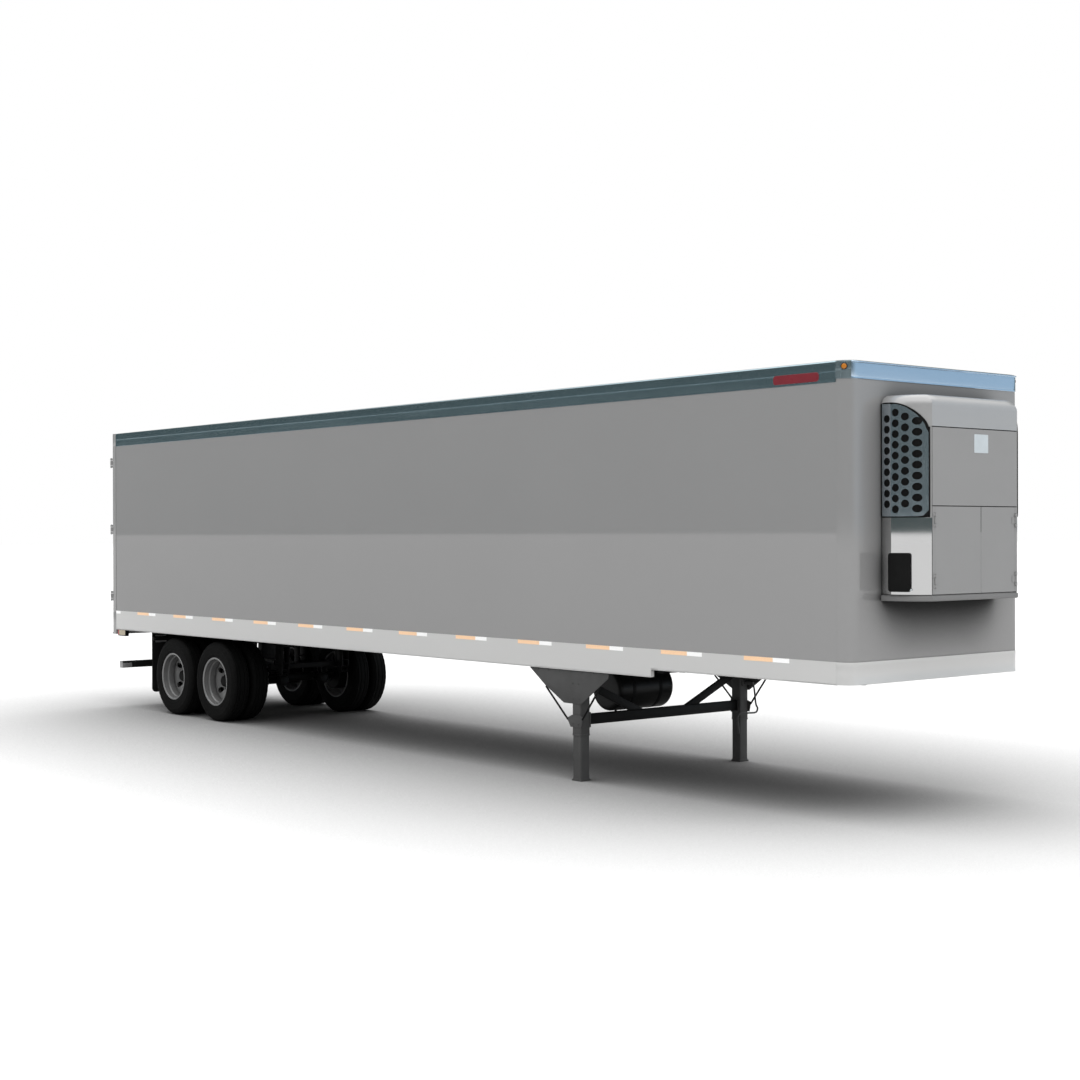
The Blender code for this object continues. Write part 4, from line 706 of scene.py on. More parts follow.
def build_hood():
    build = bmesh.new()
    part = bmesh.new()
    shells = []
    straight_top = UNIT_TOP - UNIT_TOP_RADIUS
    for out in (0.006, 0.0006):
        rings = []
        base = hood_ring(out)
        for t in (0.0, 0.33, 0.66, 1.0):
            ring = []
            for x, y in base:
                low = hood_low(x, y)
                top = max(straight_top, low + 0.002)
                ring.append((x, y, low + (top - low) * t))
            rings.append(ring)
        for k in range(1, 11):
            angle = math.pi / 2 * k / 10
            inset = UNIT_TOP_RADIUS * (1 - math.cos(angle))
            height = straight_top + (UNIT_TOP_RADIUS + out - 0.0055) * math.sin(angle)
            above = [(x, y, height) for x, y in hood_ring(out - inset)]
            rings.append([(x, y, max(z, below[2] + 0.0004)) for (x, y, z), below in zip(above, rings[-1])])
        shells.append([[part.verts.new(p) for p in ring] for ring in rings])
    outer, inner = shells
    for rings in shells:
        bridge(part, rings, closed=False)
        part.faces.new(rings[-1])
    bridge(part, (outer[0], inner[0]), closed=False)
    for end in (0, -1):
        bridge(part, ([ring[end] for ring in outer], [ring[end] for ring in inner]), closed=False)
    part.faces.new((outer[-1][0], outer[-1][-1], inner[-1][-1], inner[-1][0]))
    shape(build, part)
    piece("unit_hood", build, "hood", crease=28)


def rounded(low, high, radius, steps=5):
    (a, b), (c, d) = low, high
    loop = []
    for cx, cy, start in ((c - radius, d - radius, 0), (a + radius, d - radius, 90),
                          (a + radius, b + radius, 180), (c - radius, b + radius, 270)):
        loop += arc((cx, cy), radius, start, start + 90, steps)
    return loop


def spread_out(loop, step):
    """A rounded rectangle's outline with its four straight sides parted into as many steps at every inset."""
    sides = [(i, (i + 1) % len(loop)) for i in range(len(loop))]
    quarter = len(loop) // 4
    points = []
    for i, j in sides:
        (a, b), (c, d) = loop[i], loop[j]
        count = 1
        if j % quarter == 0:
            count = max(round(math.hypot(c - a, d - b) / step + 0.25), 1)
        points += [(a + (c - a) * k / count, b + (d - b) * k / count) for k in range(count)]
    return points


def panel(build, low, high, radius, lift, thickness, step=0.03):
    """A panel with round corners and a softly rounded outer edge."""
    levels = ((0.0, 0.0), (0.0, thickness - 0.0015), (0.0015, thickness))
    part = bmesh.new()
    rows = []
    for inset, out in levels:
        loop = rounded((low[0] + inset, low[1] + inset), (high[0] - inset, high[1] - inset),
                       max(radius - inset, 1e-3))
        rows.append([(u, v, out) for u, v in spread_out(loop, step)])
    top = rows[-1]
    loop = [(u, v) for u, v, _ in top]
    inner = [p for p in grid(low, high, step, max(step, (high[1] - low[1]) / 4)) if inside(p, loop)]
    found, _, faces, *_ = delaunay_2d_cdt([Vector(p) for p in loop + inner],
                                          [(i, (i + 1) % len(loop)) for i in range(len(loop))], [], 0, 1e-7)
    made = [[part.verts.new(lift(u, v, out)) for u, v, out in row] for row in rows]
    bridge(part, made)
    part.faces.new(made[0][::-1])
    spots = {i: made[-1][i] if i < len(loop) else part.verts.new(lift(p.x, p.y, thickness))
             for i, p in enumerate(found)}
    for face in faces:
        middle = sum((found[i] for i in face), Vector((0, 0))) / len(face)
        if inside(tuple(middle), loop):
            part.faces.new([spots[i] for i in face])
    shape(build, part)


def sheet(build, low, high, lift, thickness):
    """A square-cornered panel of even strips, so that it mirrors cleanly round a bend."""
    count = max(round((high[0] - low[0]) / 0.0085), 3)
    rows = []
    part = bmesh.new()
    levels = ((0.0, 0.0), (0.0, thickness - 0.0012), (0.0004, thickness - 0.0004), (0.0012, thickness))
    for inset, out in levels + ((0.004, thickness),):
        across = [low[0] + inset + (high[0] - low[0] - 2 * inset) * i / count for i in range(count + 1)]
        loop = [(u, low[1] + inset) for u in across] + [(u, high[1] - inset) for u in reversed(across)]
        rows.append([part.verts.new(lift(u, v, out)) for u, v in loop])
    size = len(rows[0])
    bridge(part, rows)
    for row in (rows[0], rows[-1]):
        for i in range(count):
            part.faces.new((row[i], row[i + 1], row[size - 2 - i], row[size - 1 - i]))
    shape(build, part)


def build_unit():
    build_grilles()
    build_hood()
    build = bmesh.new()
    panel(build, (-CREASE_HALF + 0.002, DOOR_TOP + 0.004), (CREASE_HALF - 0.002, HOOD_SEAM - 0.009), 0.006,
          on_front(), 0.0055, 0.12)
    for side in BOTH:
        low, high = sorted((side * 0.6032, side * (CREASE_HALF - 0.002)))
        panel(build, (low, BASE_TOP + 0.006), (high, DOOR_TOP - 0.004), 0.003, on_front(), 0.0055, 0.12)
        for z in UNIT_HINGES:
            for middle in (z - 0.0475, z + 0.0475):
                bar(build, (UNIT_HINGE_X, side * 0.603, middle - 0.0139),
                    (UNIT_HINGE_X, side * 0.603, middle + 0.0139), 0.0086, 20, 0.001)
                ear = sorted((side * 0.603, side * 0.6316))
                block(build, (UNIT_FRONT - 0.002, ear[0], middle - 0.0137),
                      (UNIT_HINGE_X + 0.0006, ear[1], middle + 0.0137), 0.001)
    piece("unit_front_panel", build, "unit_grey")
    build = bmesh.new()
    for word, side in SIDES:
        sheet(build, (0.449, GRILLE_BOTTOM - 0.012), (SIDE_LENGTH - 0.0005, HOOD_SEAM - 0.004),
              on_side(side), 0.0055)
    piece("unit_corner_trim", build, "unit_grey", bent=True)

    for word, side in SIDES:
        build = bmesh.new()
        sheet(build, (0.004, BASE_TOP + 0.005), (SIDE_LENGTH - 0.003, GRILLE_BOTTOM - 0.01), on_side(side),
              0.0055)
        piece("unit_corner_panel_" + word, build, "corner_metal", bent=True)

        build = bmesh.new()
        low, high = sorted((side * 0.6022, 0.079 + side * 0.003))
        panel(build, (low, BASE_TOP + 0.006), (high, DOOR_TOP - 0.004), 0.004, on_front(0.0006), 0.005, 0.12)
        if side == 1:
            block(build, (UNIT_FRONT + 0.0008, 0.0768, BASE_TOP + 0.008), (UNIT_FRONT + 0.0052, 0.0822, 2.6),
                  0.0008)
        piece("unit_door_skin_" + word, build, "unit_grey", body="unit_door_" + word)
    # a black strip in the upper part of the gap between the unit's doors, painted shade in that gap
    build = bmesh.new()
    block(build, (UNIT_FRONT + 0.0008, 0.0765, 2.601), (UNIT_FRONT + 0.005, 0.0822, DOOR_TOP - 0.005), 0.0006)
    piece("unit_door_gap_painted_shade", build, "seam", body="unit_door_left")

    build = bmesh.new()
    part = bmesh.new()
    rows = []
    for out, z in ((-0.012, 1.984), (0.004, 1.986), (0.011, 1.992), (0.012, 2.0), (0.012, 2.022),
                   (0.01, 2.029), (0.004, 2.034), (0.001, 2.0345), (0.001, 2.0385)):
        rows.append([part.verts.new((x, y, z)) for x, y in hood_ring(out)])
    bridge(part, rows)
    part.faces.new(rows[0][::-1])
    part.faces.new(rows[-1])
    shape(build, part)
    piece("unit_base_lip", build, "lip_grey", stands_for=("unit_base",))

    build = bmesh.new()
    lift = on_side(-1, 0.0062)
    panel(build, (0.09, 2.07), (0.284, 2.418), 0.024, lift, 0.04, 0.02)
    panel(build, (0.096, 2.076), (0.278, 2.412), 0.02, on_side(-1, 0.0466), 0.012, 0.02)
    piece("control_case", build, "black", stands_for=("control_box",))
    build = bmesh.new()
    panel(build, (0.074, 2.088), (0.088, 2.4), 0.004, lift, 0.006, 0.02)
    panel(build, (0.27, 2.081), (0.292, 2.097), 0.004, on_side(-1, 0.03), 0.02, 0.02)
    piece("control_trim", build, "plate_pale")

    build = bmesh.new()
    panel(build, (-0.024, 3.327), (0.186, 3.497), 0.008, on_front(0.006), 0.003, 0.06)
    piece("blank_plate_front", build, "plate_pale")
    build = bmesh.new()
    for side in BOTH:
        def on_rail(x, z, out, side=side):
            return (x, side * (HALF_WIDTH + 0.0003 + out), z)
        panel(build, (13.45, 3.962), (14.00, 4.046), 0.03, on_rail, 0.003, 0.1)
    piece("blank_plate_rail", build, "plate_red")


# Wheels

TYRE_RADIUS = 0.552
TWIN_Y = 0.991
TWIN_HALF = 0.15
TYRE_NARROWING = 0.27 / 0.279
AXLES = (("rear", 1.76), ("front", 2.97))
TREAD_STEPS = 120


def tyre_rows():
    """Half of the tyre's outside, from bead to middle, as (radius, distance from the middle, groove)."""
    side = [
        (0.3055, 0.123, 0), (0.3365, 0.1232, 0), (0.342, 0.1285, 0), (0.356, 0.131, 0), (0.366, 0.1335, 0),
        (0.37, 0.1362, 0), (0.376, 0.1366, 0), (0.38, 0.1352, 0), (0.4, 0.1382, 0), (0.423, 0.1393, 0),
        (0.446, 0.139, 0), (0.466, 0.1375, 0), (0.47, 0.1386, 0), (0.478, 0.1384, 0), (0.482, 0.136, 0),
        (0.498, 0.131, 0), (0.512, 0.127, 0), (0.525, 0.1205, 1), (0.536, 0.112, 1), (0.5435, 0.102, 1),
        (0.548, 0.091, 0),
    ]
    for groove in (0.08, 0.033):
        side += [
            (0.551, groove + 0.005, 2), (0.539, groove + 0.003, 2), (0.539, groove - 0.003, 2),
            (0.5512, groove - 0.005, 2), (0.5516, groove - 0.02, 0),
        ]
    return [(radius, out * TYRE_NARROWING, kind) for radius, out, kind in side]


def build_tyres():
    half = tyre_rows()
    rows = [(r, -h) for r, h, _ in half] + [(0.552, 0.0)] + [(r, h) for r, h, _ in reversed(half)]
    kinds = [k for _, _, k in half] + [0] + [k for _, _, k in reversed(half)]

    def shift(row, step):
        kind = kinds[row]
        if kind == 1:
            return (0.004 if step % 3 == 0 else 0.0, 0.0)
        if kind == 2:
            return (0.0, 0.0022 if step % 6 < 3 else -0.0022)
        return (0.0, 0.0)

    for place, axle_x in AXLES:
        for word, side in SIDES:
            build = bmesh.new()
            names = []
            for where, twin in (("outer", 1), ("inner", -1)):
                y = side * (TWIN_Y + twin * TWIN_HALF)
                turned(build, rows, TREAD_STEPS, (axle_x, y, TYRE_RADIUS), (0, side, 0), shift)
                names.append("tyre_{}_{}_{}".format(place, word, where))
            label = place + "_" + word
            piece("tyres_" + label, build, "tyre", body="wheels_" + label, stands_for=names, crease=40)


DISC_LINE = ((0.1, 0.04), (0.15, 0.04), (0.172, 0.044), (0.196, 0.06), (0.228, 0.092), (0.262, 0.112),
             (0.2885, 0.118))


def disc_height(radius):
    """How far out the wheel's disc lies from the middle of the twin wheel."""
    for (a, ha), (b, hb) in zip(DISC_LINE, DISC_LINE[1:]):
        if radius <= b:
            return ha + (hb - ha) * max(radius - a, 0) / (b - a)
    return DISC_LINE[-1][1]


def build_rims():
    rim = [
        (0.334, 0.1195), (0.336, 0.123), (0.3352, 0.127), (0.332, 0.1292), (0.326, 0.1294), (0.319, 0.127),
        (0.313, 0.1235), (0.3085, 0.118), (0.306, 0.109), (0.304, 0.095), (0.301, 0.056), (0.298, 0.052),
        (0.288, 0.044), (0.2865, 0.04), (0.2865, -0.03), (0.294, -0.04), (0.296, -0.095), (0.306, -0.118),
        (0.319, -0.127), (0.326, -0.1294), (0.332, -0.1292), (0.3352, -0.127), (0.336, -0.123),
        (0.334, -0.1195), (0.3052, -0.1185), (0.3052, 0.1185),
    ]
    lip = [
        (0.3362, 0.1231), (0.3355, 0.1272), (0.3322, 0.1296), (0.326, 0.1298), (0.319, 0.1274),
        (0.3128, 0.1239), (0.3081, 0.1182), (0.3078, 0.1176), (0.3086, 0.1178), (0.3131, 0.1233),
        (0.3191, 0.1268), (0.326, 0.1291), (0.3319, 0.1289), (0.335, 0.1268), (0.3358, 0.1229),
    ]
    for place, axle_x in AXLES:
        for word, side in SIDES:
            label = place + "_" + word
            build = bmesh.new()
            for twin in (1, -1):
                y = side * (TWIN_Y + twin * TWIN_HALF)
                turned(build, rim, 96, (axle_x, y, TYRE_RADIUS), (0, side * twin, 0))

                def lift(u, v, out, twin=twin):
                    reach = math.hypot(u, v)
                    high = disc_height(reach) - 0.03 + out
                    return (axle_x + u, side * (TWIN_Y + twin * high), TYRE_RADIUS + v)

                outline = circle(0.288, 72)
                spots = []
                for reach in (0.12, 0.15, 0.172, 0.184, 0.196, 0.212, 0.228, 0.245, 0.262, 0.274):
                    spots += circle(reach, 60, first=math.pi / 60)
                holes = [circle(0.041, 20, middle) for middle in circle(0.235, 5, first=math.radians(144))]
                holes.append(circle(0.1, 36, (0.0001, 0.0)))
                pierced(build, outline, holes, spots, lift, 0.01)
            piece("rims_detail_" + label, build, "rim_disc", body="wheels_" + label,
                  stands_for=("rims_" + label,))
            build = bmesh.new()
            y = side * (TWIN_Y + TWIN_HALF)
            turned(build, lip, 96, (axle_x, y, TYRE_RADIUS), (0, side, 0))
            piece("rim_lips_" + label, build, "rim_lip", body="wheels_" + label)

            build = bmesh.new()
            hub = [
                (0.0, 0.153), (0.04, 0.153), (0.058, 0.15), (0.07, 0.142), (0.074, 0.13), (0.075, 0.104),
                (0.092, 0.102), (0.096, 0.098), (0.097, 0.06), (0.106, 0.05), (0.108, 0.02), (0.108, -0.03),
                (0.14, -0.05), (0.14, -0.136), (0.196, -0.14), (0.204, -0.148), (0.204, -0.326),
                (0.196, -0.335), (0.045, -0.335), (0.045, 0.02), (0.0, 0.02),
            ]
            turned(build, hub, 48, (axle_x, side * TWIN_Y, TYRE_RADIUS), (0, side, 0))
            piece("hub_" + label, build, "chassis", body="wheels_" + label)
            build = bmesh.new()
            out = Vector((0, side, 0))
            for x, z in circle(0.1428, 10, (axle_x, TYRE_RADIUS), math.pi / 10):
                spot = Vector((x, side * (TWIN_Y + 0.0195), z))
                bar(build, spot, spot + out * 0.004, 0.022, 16, 0.001)
                bar(build, spot + out * 0.004, spot + out * 0.026, 0.0175, 6, 0.0015)
                bar(build, spot + out * 0.026, spot + out * 0.042, 0.0105, 12, 0.001)
            for x, z in circle(0.085, 8, (axle_x, TYRE_RADIUS)):
                spot = Vector((x, side * (TWIN_Y + 0.103), z))
                bar(build, spot, spot + out * 0.008, 0.007, 6, 0.0006)
            piece("wheel_nuts_" + label, build, "chassis", body="wheels_" + label)


# Rear frame and doors

FRAME_REAR = -0.1
OPENING_HALF = 1.2
SILL_TOP = 1.42
DOOR_BOTTOM = 1.428
DOOR_TOP_Z = 3.9345
DOOR_EDGE = 1.194
HINGE_X = -0.14
HINGE_Y = 1.298
HINGES = (1.668, 2.68125, 3.6945)
ROD_X = -0.1165
ROD_PLACES = (0.3, 0.82)
GUIDES = (1.778, 2.33125, 3.03125, 3.5845)
TAIL_LAMPS = (0.75, 0.86)
TOP_LAMPS = (-0.16, 0.0, 0.16, -1.16, 1.16)


def lens(build, place, out, radius, height=0.012):
    section = ((0.0, 0.0), (radius, 0.0), (radius, height * 0.6), (radius * 0.86, height * 0.9),
               (0.0, height))
    turned(build, section, 32, place, out)


def lamp_ring(build, place, out, radius):
    section = ((0.001, -0.001), (0.01, -0.001), (0.01, 0.006), (0.007, 0.009), (0.001, 0.009))
    turned(build, [(radius + more, height) for more, height in section], 32, place, out)


def build_rear_frame():
    build = bmesh.new()
    front = -0.0006
    blocks(build, (
        (FRAME_REAR, OPENING_HALF, SILL_TOP, front, HALF_WIDTH, 3.9425, 0.004, 3),
        (-0.112, 1.224, 1.1, FRAME_REAR + 0.001, 1.282, 1.41, 0.003),
        (-0.13, 1.13, 1.092, FRAME_REAR + 0.001, 1.293, 1.114, 0.004),
    ), BOTH)
    blocks(build, (
        (FRAME_REAR, -HALF_WIDTH, 3.943, front, HALF_WIDTH, BODY_TOP, 0.004, 3),
        (FRAME_REAR, -HALF_WIDTH, 1.09, front, HALF_WIDTH, SILL_TOP - 0.0005, 0.004, 3),
    ))
    for z in (1.135, 1.385):
        block(build, (FRAME_REAR - 0.004, -1.1, z - 0.008), (FRAME_REAR + 0.001, 1.1, z + 0.008), 0.003)
    piece("rear_casing", build, "frame_post", stands_for=("rear_frame",))

    build = bmesh.new()
    for side in BOTH:
        for z in HINGES:
            for middle in (z - 0.05475, z + 0.05475):
                low, high = middle - 0.0155, middle + 0.0155
                bar(build, (HINGE_X, side * HINGE_Y, low), (HINGE_X, side * HINGE_Y, high), 0.0162, 24,
                    0.0015)
                block_on(build, side, (HINGE_X - 0.002, 1.262, low + 0.0005),
                         (FRAME_REAR + 0.002, 1.2945, high - 0.0005), 0.002)
            for end in (-0.0712, 0.0712):
                bar(build, (HINGE_X, side * HINGE_Y, z + end), (HINGE_X, side * HINGE_Y, z + end * 1.06),
                    0.012, 20, 0.001)
    piece("rear_hinge_brackets", build, "frame_post")

    build = bmesh.new()
    for side in BOTH:
        blocks(build, (
            (-0.001, 1.262, 1.4465, -0.0002, 1.2938, 3.9415, 0),
            (-0.118, 0.96, 1.15, FRAME_REAR + 0.001, 1.11, 1.37, 0.012, 3),
        ), (side,))
        for y in TAIL_LAMPS:
            lamp_ring(build, (FRAME_REAR - 0.0005, side * y, 1.26), (-1, 0, 0), 0.045)
        for place in ROD_PLACES:
            for z in (1.395, 3.958):
                blocks(build, (
                    (-0.122, place - 0.03, z - 0.012, FRAME_REAR + 0.001, place - 0.018, z + 0.012, 0.002),
                    (-0.122, place + 0.018, z - 0.012, FRAME_REAR + 0.001, place + 0.03, z + 0.012, 0.002),
                ), (side,))
    for y in TOP_LAMPS:
        lamp_ring(build, (FRAME_REAR - 0.0005, y, 4.045), (-1, 0, 0), 0.02)
    block(build, (FRAME_REAR - 0.006, -0.46, 1.185), (FRAME_REAR + 0.001, -0.12, 1.365), 0.004)
    piece("rear_black_details", build, "rubber")

    build = bmesh.new()
    for side in BOTH:
        for y in TAIL_LAMPS:
            lens(build, (FRAME_REAR, side * y, 1.26), (-1, 0, 0), 0.0445)
    for y in TOP_LAMPS:
        lens(build, (FRAME_REAR, y, 4.045), (-1, 0, 0), 0.0195, 0.01)
    piece("rear_lenses", build, "red")

    build = bmesh.new()
    block(build, (FRAME_REAR - 0.0085, -0.445, 1.2), (FRAME_REAR - 0.0055, -0.135, 1.35), 0.001)
    piece("blank_number_plate", build, "plate_pale")


def build_rear_doors():
    for word, side in SIDES:
        body = "rear_door_" + word
        build = bmesh.new()
        blocks(build, (
            (-0.1, 0.004, DOOR_BOTTOM, -0.03, DOOR_EDGE - 0.001, DOOR_TOP_Z, 0.004, 3),
            (-0.031, 0.05, DOOR_BOTTOM + 0.05, -0.025, DOOR_EDGE - 0.05, DOOR_TOP_Z - 0.05, 0.003),
        ), (side,))
        for z in HINGES:
            blocks(build, (
                (-0.115, 0.985, z - 0.034, -0.105, 1.29, z + 0.034, 0.004, 3),
                (-0.1052, 0.99, z - 0.024, -0.099, 1.183, z + 0.024, 0.001),
                (HINGE_X + 0.004, 1.283, z - 0.034, -0.107, 1.297, z + 0.034, 0.002),
            ), (side,))
            bar(build, (HINGE_X, side * HINGE_Y, z - 0.0348), (HINGE_X, side * HINGE_Y, z + 0.0348), 0.016,
                24, 0.0015)
        piece("rear_door_panel_" + word, build, "side_skin", body=body, stands_for=("rear_door_" + word,))

        build = bmesh.new()
        near, far, low, high = 0.0036, DOOR_EDGE + 0.002, DOOR_BOTTOM - 0.002, DOOR_TOP_Z + 0.002
        blocks(build, (
            (-0.085, near, low, -0.045, far, low + 0.004, 0.0015),
            (-0.085, near, high - 0.004, -0.045, far, high, 0.0015),
            (-0.085, near, low + 0.004, -0.045, near + 0.004, high - 0.004, 0.0015),
            (-0.085, far - 0.004, low + 0.004, -0.045, far, high - 0.004, 0.0015),
        ), (side,))
        piece("rear_door_seal_" + word, build, "rubber", body=body)

        build = bmesh.new()
        for place in ROD_PLACES:
            y = side * place
            bar(build, (ROD_X, y, DOOR_BOTTOM - 0.01), (ROD_X, y, DOOR_TOP_Z + 0.006), 0.0125, 20, 0.001)
            for z in (DOOR_BOTTOM - 0.008, DOOR_TOP_Z - 0.01):
                block(build, (ROD_X - 0.01, y - 0.0155, z), (ROD_X + 0.0135, y + 0.0155, z + 0.012), 0.003)
            for z in GUIDES:
                block(build, (ROD_X + 0.006, y - 0.045, z - 0.028), (-0.1, y + 0.045, z + 0.028), 0.003)
                bar(build, (ROD_X, y, z - 0.022), (ROD_X, y, z + 0.022), 0.0165, 20, 0.002)
                for shift in (-0.034, 0.034):
                    bolt(build, (ROD_X + 0.0062, y + shift, z), (-1, 0, 0), 0.008)
            block_on(build, side, (ROD_X - 0.01, place - 0.225, 1.736),
                     (ROD_X + 0.001, place - 0.004, 1.764), 0.004, 3)
            bar(build, (ROD_X, y, 1.715), (ROD_X, y, 1.785), 0.0168, 20, 0.002)
            blocks(build, (
                (ROD_X - 0.002, place - 0.235, 1.725, -0.1, place - 0.185, 1.733, 0.002),
                (ROD_X + 0.004, place - 0.235, 1.7, -0.1, place - 0.185, 1.8, 0.003),
            ), (side,))
        for z in HINGES:
            for y in (1.01, 1.07, 1.15):
                bolt(build, (-0.1148, side * y, z), (-1, 0, 0), 0.01)
        piece("lock_gear_" + word, build, "zinc", body=body, stands_for=("lock_rods_" + word,))


def build_corner_lamps():
    for word, side in SIDES:
        build = bmesh.new()
        blocks(build, (
            (0.056, 1.236, 1.069, 0.304, 1.2935, 1.1655, 0.006, 3),
            (0.07, 1.24, 1.163, 0.29, 1.275, 1.1662, 0.001),
        ), (side,))
        piece("corner_lamp_case_" + word, build, "black", stands_for=("rear_corner_lamp_" + word,))
        build = bmesh.new()
        lift = lambda x, z, out, side=side: (x, side * (1.2925 + out), z)
        panel(build, (0.098, 1.082), (0.296, 1.158), 0.01, lift, 0.005, 0.05)
        piece("corner_lamp_lens_" + word, build, "lens_pale")
        build = bmesh.new()
        panel(build, (0.062, 1.082), (0.092, 1.158), 0.008, lift, 0.005, 0.05)
        back = lambda y, z, out: (0.0565 - out, y, z)
        low, high = sorted((side * 1.245, side * 1.286))
        panel(build, (low, 1.08), (high, 1.156), 0.008, back, 0.005, 0.05)
        piece("corner_lamp_red_" + word, build, "red")


# Underside

LEG_X = 10.636
LEG_Y = 1.202
RAIL_LOW = 1.166


def build_legs():
    outline = ((-0.749, 1.151), (-0.495, 0.976), (-0.191, 0.81), (0.082, 0.809), (0.505, 1.103),
               (0.511, 1.13), (0.511, RAIL_LOW - GAP), (-0.749, RAIL_LOW - GAP))
    collar = ((-0.143, 0.655), (-0.085, 0.564), (0.085, 0.564), (0.107, 0.675), (0.06, 0.692), (-0.06, 0.692))
    for word, side in SIDES:
        y = side * LEG_Y
        build = bmesh.new()

        def tube(half, low, high, radius, bevel=0.001):
            loop = rounded((LEG_X - half, y - half), (LEG_X + half, y + half), radius, 6)
            pushed(build, loop, low, high, "Z", bevel)

        tube(0.068, 0.475, RAIL_LOW - GAP, 0.018, 0.002)
        tube(0.0705, 0.475, 0.492, 0.019, 0.003)
        tube(0.063, 0.01, 0.49, 0.014, 0.0)
        block(build, (LEG_X - 0.072, y - 0.072, 0.0), (LEG_X + 0.072, y + 0.072, 0.014), 0.004, 3)
        tube(0.067, 0.011, 0.026, 0.014, 0.005)
        inner_face = LEG_Y - 0.068
        block_on(build, side, (LEG_X - 0.075, inner_face - 0.004, 0.56),
                 (LEG_X + 0.075, inner_face + 0.002, 0.72), 0.003)
        block(build, (LEG_X + 0.067, y - 0.045, 0.86), (LEG_X + 0.084, y + 0.045, 0.945), 0.006, 3)
        for dy in (-0.032, 0.032):
            for dz in (0.874, 0.931):
                bolt(build, (LEG_X + 0.0835, y + dy, dz), (1, 0, 0), 0.009)
        piece("leg_tubes_" + word, build, "leg_steel", stands_for=("landing_leg_" + word,))

        build = bmesh.new()
        low, high = sorted((side * (LEG_Y + 0.0683), side * (LEG_Y + 0.0763)))
        pushed(build, [(LEG_X + x, z) for x, z in outline], low, high, "Y", 0.002)
        pushed(build, [(LEG_X + x, z) for x, z in collar], low, high, "Y", 0.002)
        middle = (low + high) / 2
        rods = bmesh.new()
        for start, end in (((-0.487, 0.965), (-0.13, 0.64)), ((0.378, 1.002), (0.1, 0.65))):
            bar(rods, (LEG_X + start[0], middle, start[1]), (LEG_X + end[0], middle, end[1]), 0.0105, 16,
                0.001)
        piece("leg_rods_" + word, rods, "dark_steel")
        out = Vector((0, side, 0))
        face = side * (LEG_Y + 0.0762)
        for x in (-0.62, -0.44, -0.26, -0.08, 0.1, 0.28, 0.44):
            bolt(build, (LEG_X + x, face, 1.148), out, 0.009)
        for x, z in ((-0.045, 0.86), (0.045, 0.86), (-0.045, 1.02), (0.045, 1.02), (-0.045, 0.6),
                     (0.045, 0.6)):
            bolt(build, (LEG_X + x, face, z), out, 0.0075)
        block_on(build, side, (LEG_X - 0.749, LEG_Y - 0.02, RAIL_LOW - 0.01),
                 (LEG_X + 0.511, LEG_Y + 0.0763, RAIL_LOW - GAP), 0.002)
        piece("leg_plate_" + word, build, "leg_steel", stands_for=("landing_plate_" + word,))

    build = bmesh.new()
    inside_y = LEG_Y - 0.0683
    loop = rounded((LEG_X - 0.03, 0.584), (LEG_X + 0.03, 0.696), 0.01, 4)
    pushed(build, loop, -inside_y, inside_y, "Y", 0.001)
    for side in BOTH:
        outline = [(side * 0.31, 0.5975), (side * 0.31, 0.6925), (side * inside_y, 1.0675),
                   (side * inside_y, 0.9725)]
        pushed(build, outline, LEG_X - 0.015, LEG_X + 0.015, "X", 0.003)
        for y, z in ((inside_y - 0.04, 1.01), (inside_y - 0.075, 0.985)):
            bolt(build, (LEG_X + 0.0148, side * y, z), (1, 0, 0), 0.009)
        block_on(build, side, (LEG_X - 0.034, inside_y - 0.012, 0.58), (LEG_X + 0.034, inside_y, 0.7), 0.003)
    piece("leg_cross_beam", build, "dark_steel", stands_for=("landing_cross_tube",))

    build = bmesh.new()
    crank_x = LEG_X + 0.204
    route = ((0.0, 0.9), (0.024, 0.829), (0.05, 0.663), (0.078, 0.613), (0.05, 0.567), (-0.066, 0.566),
             (-0.202, 0.571), (-0.242, 0.541), (-0.249, 0.485), (-0.23, 0.344))
    pipe(build, smooth_line([(crank_x, LEG_Y + y, z) for y, z in route], 7), 0.01, 14)
    bar(build, (LEG_X + 0.08, LEG_Y, 0.9), (crank_x + 0.012, LEG_Y, 0.9), 0.016, 20, 0.002)
    bar(build, (LEG_X + 0.08, LEG_Y, 0.9), (LEG_X + 0.112, LEG_Y, 0.9), 0.024, 24, 0.003)
    start = Vector((crank_x, LEG_Y - 0.247, 0.47))
    bar(build, start, start + Vector((0, 0.0165, -0.12)), 0.0135, 18, 0.002)
    piece("crank_handle", build, "leg_steel", stands_for=("landing_crank",))


TANK_X = 10.145
TANK_Z = 0.883
KINGPIN_X = 13.431
KINGPIN_FACE = 1.116


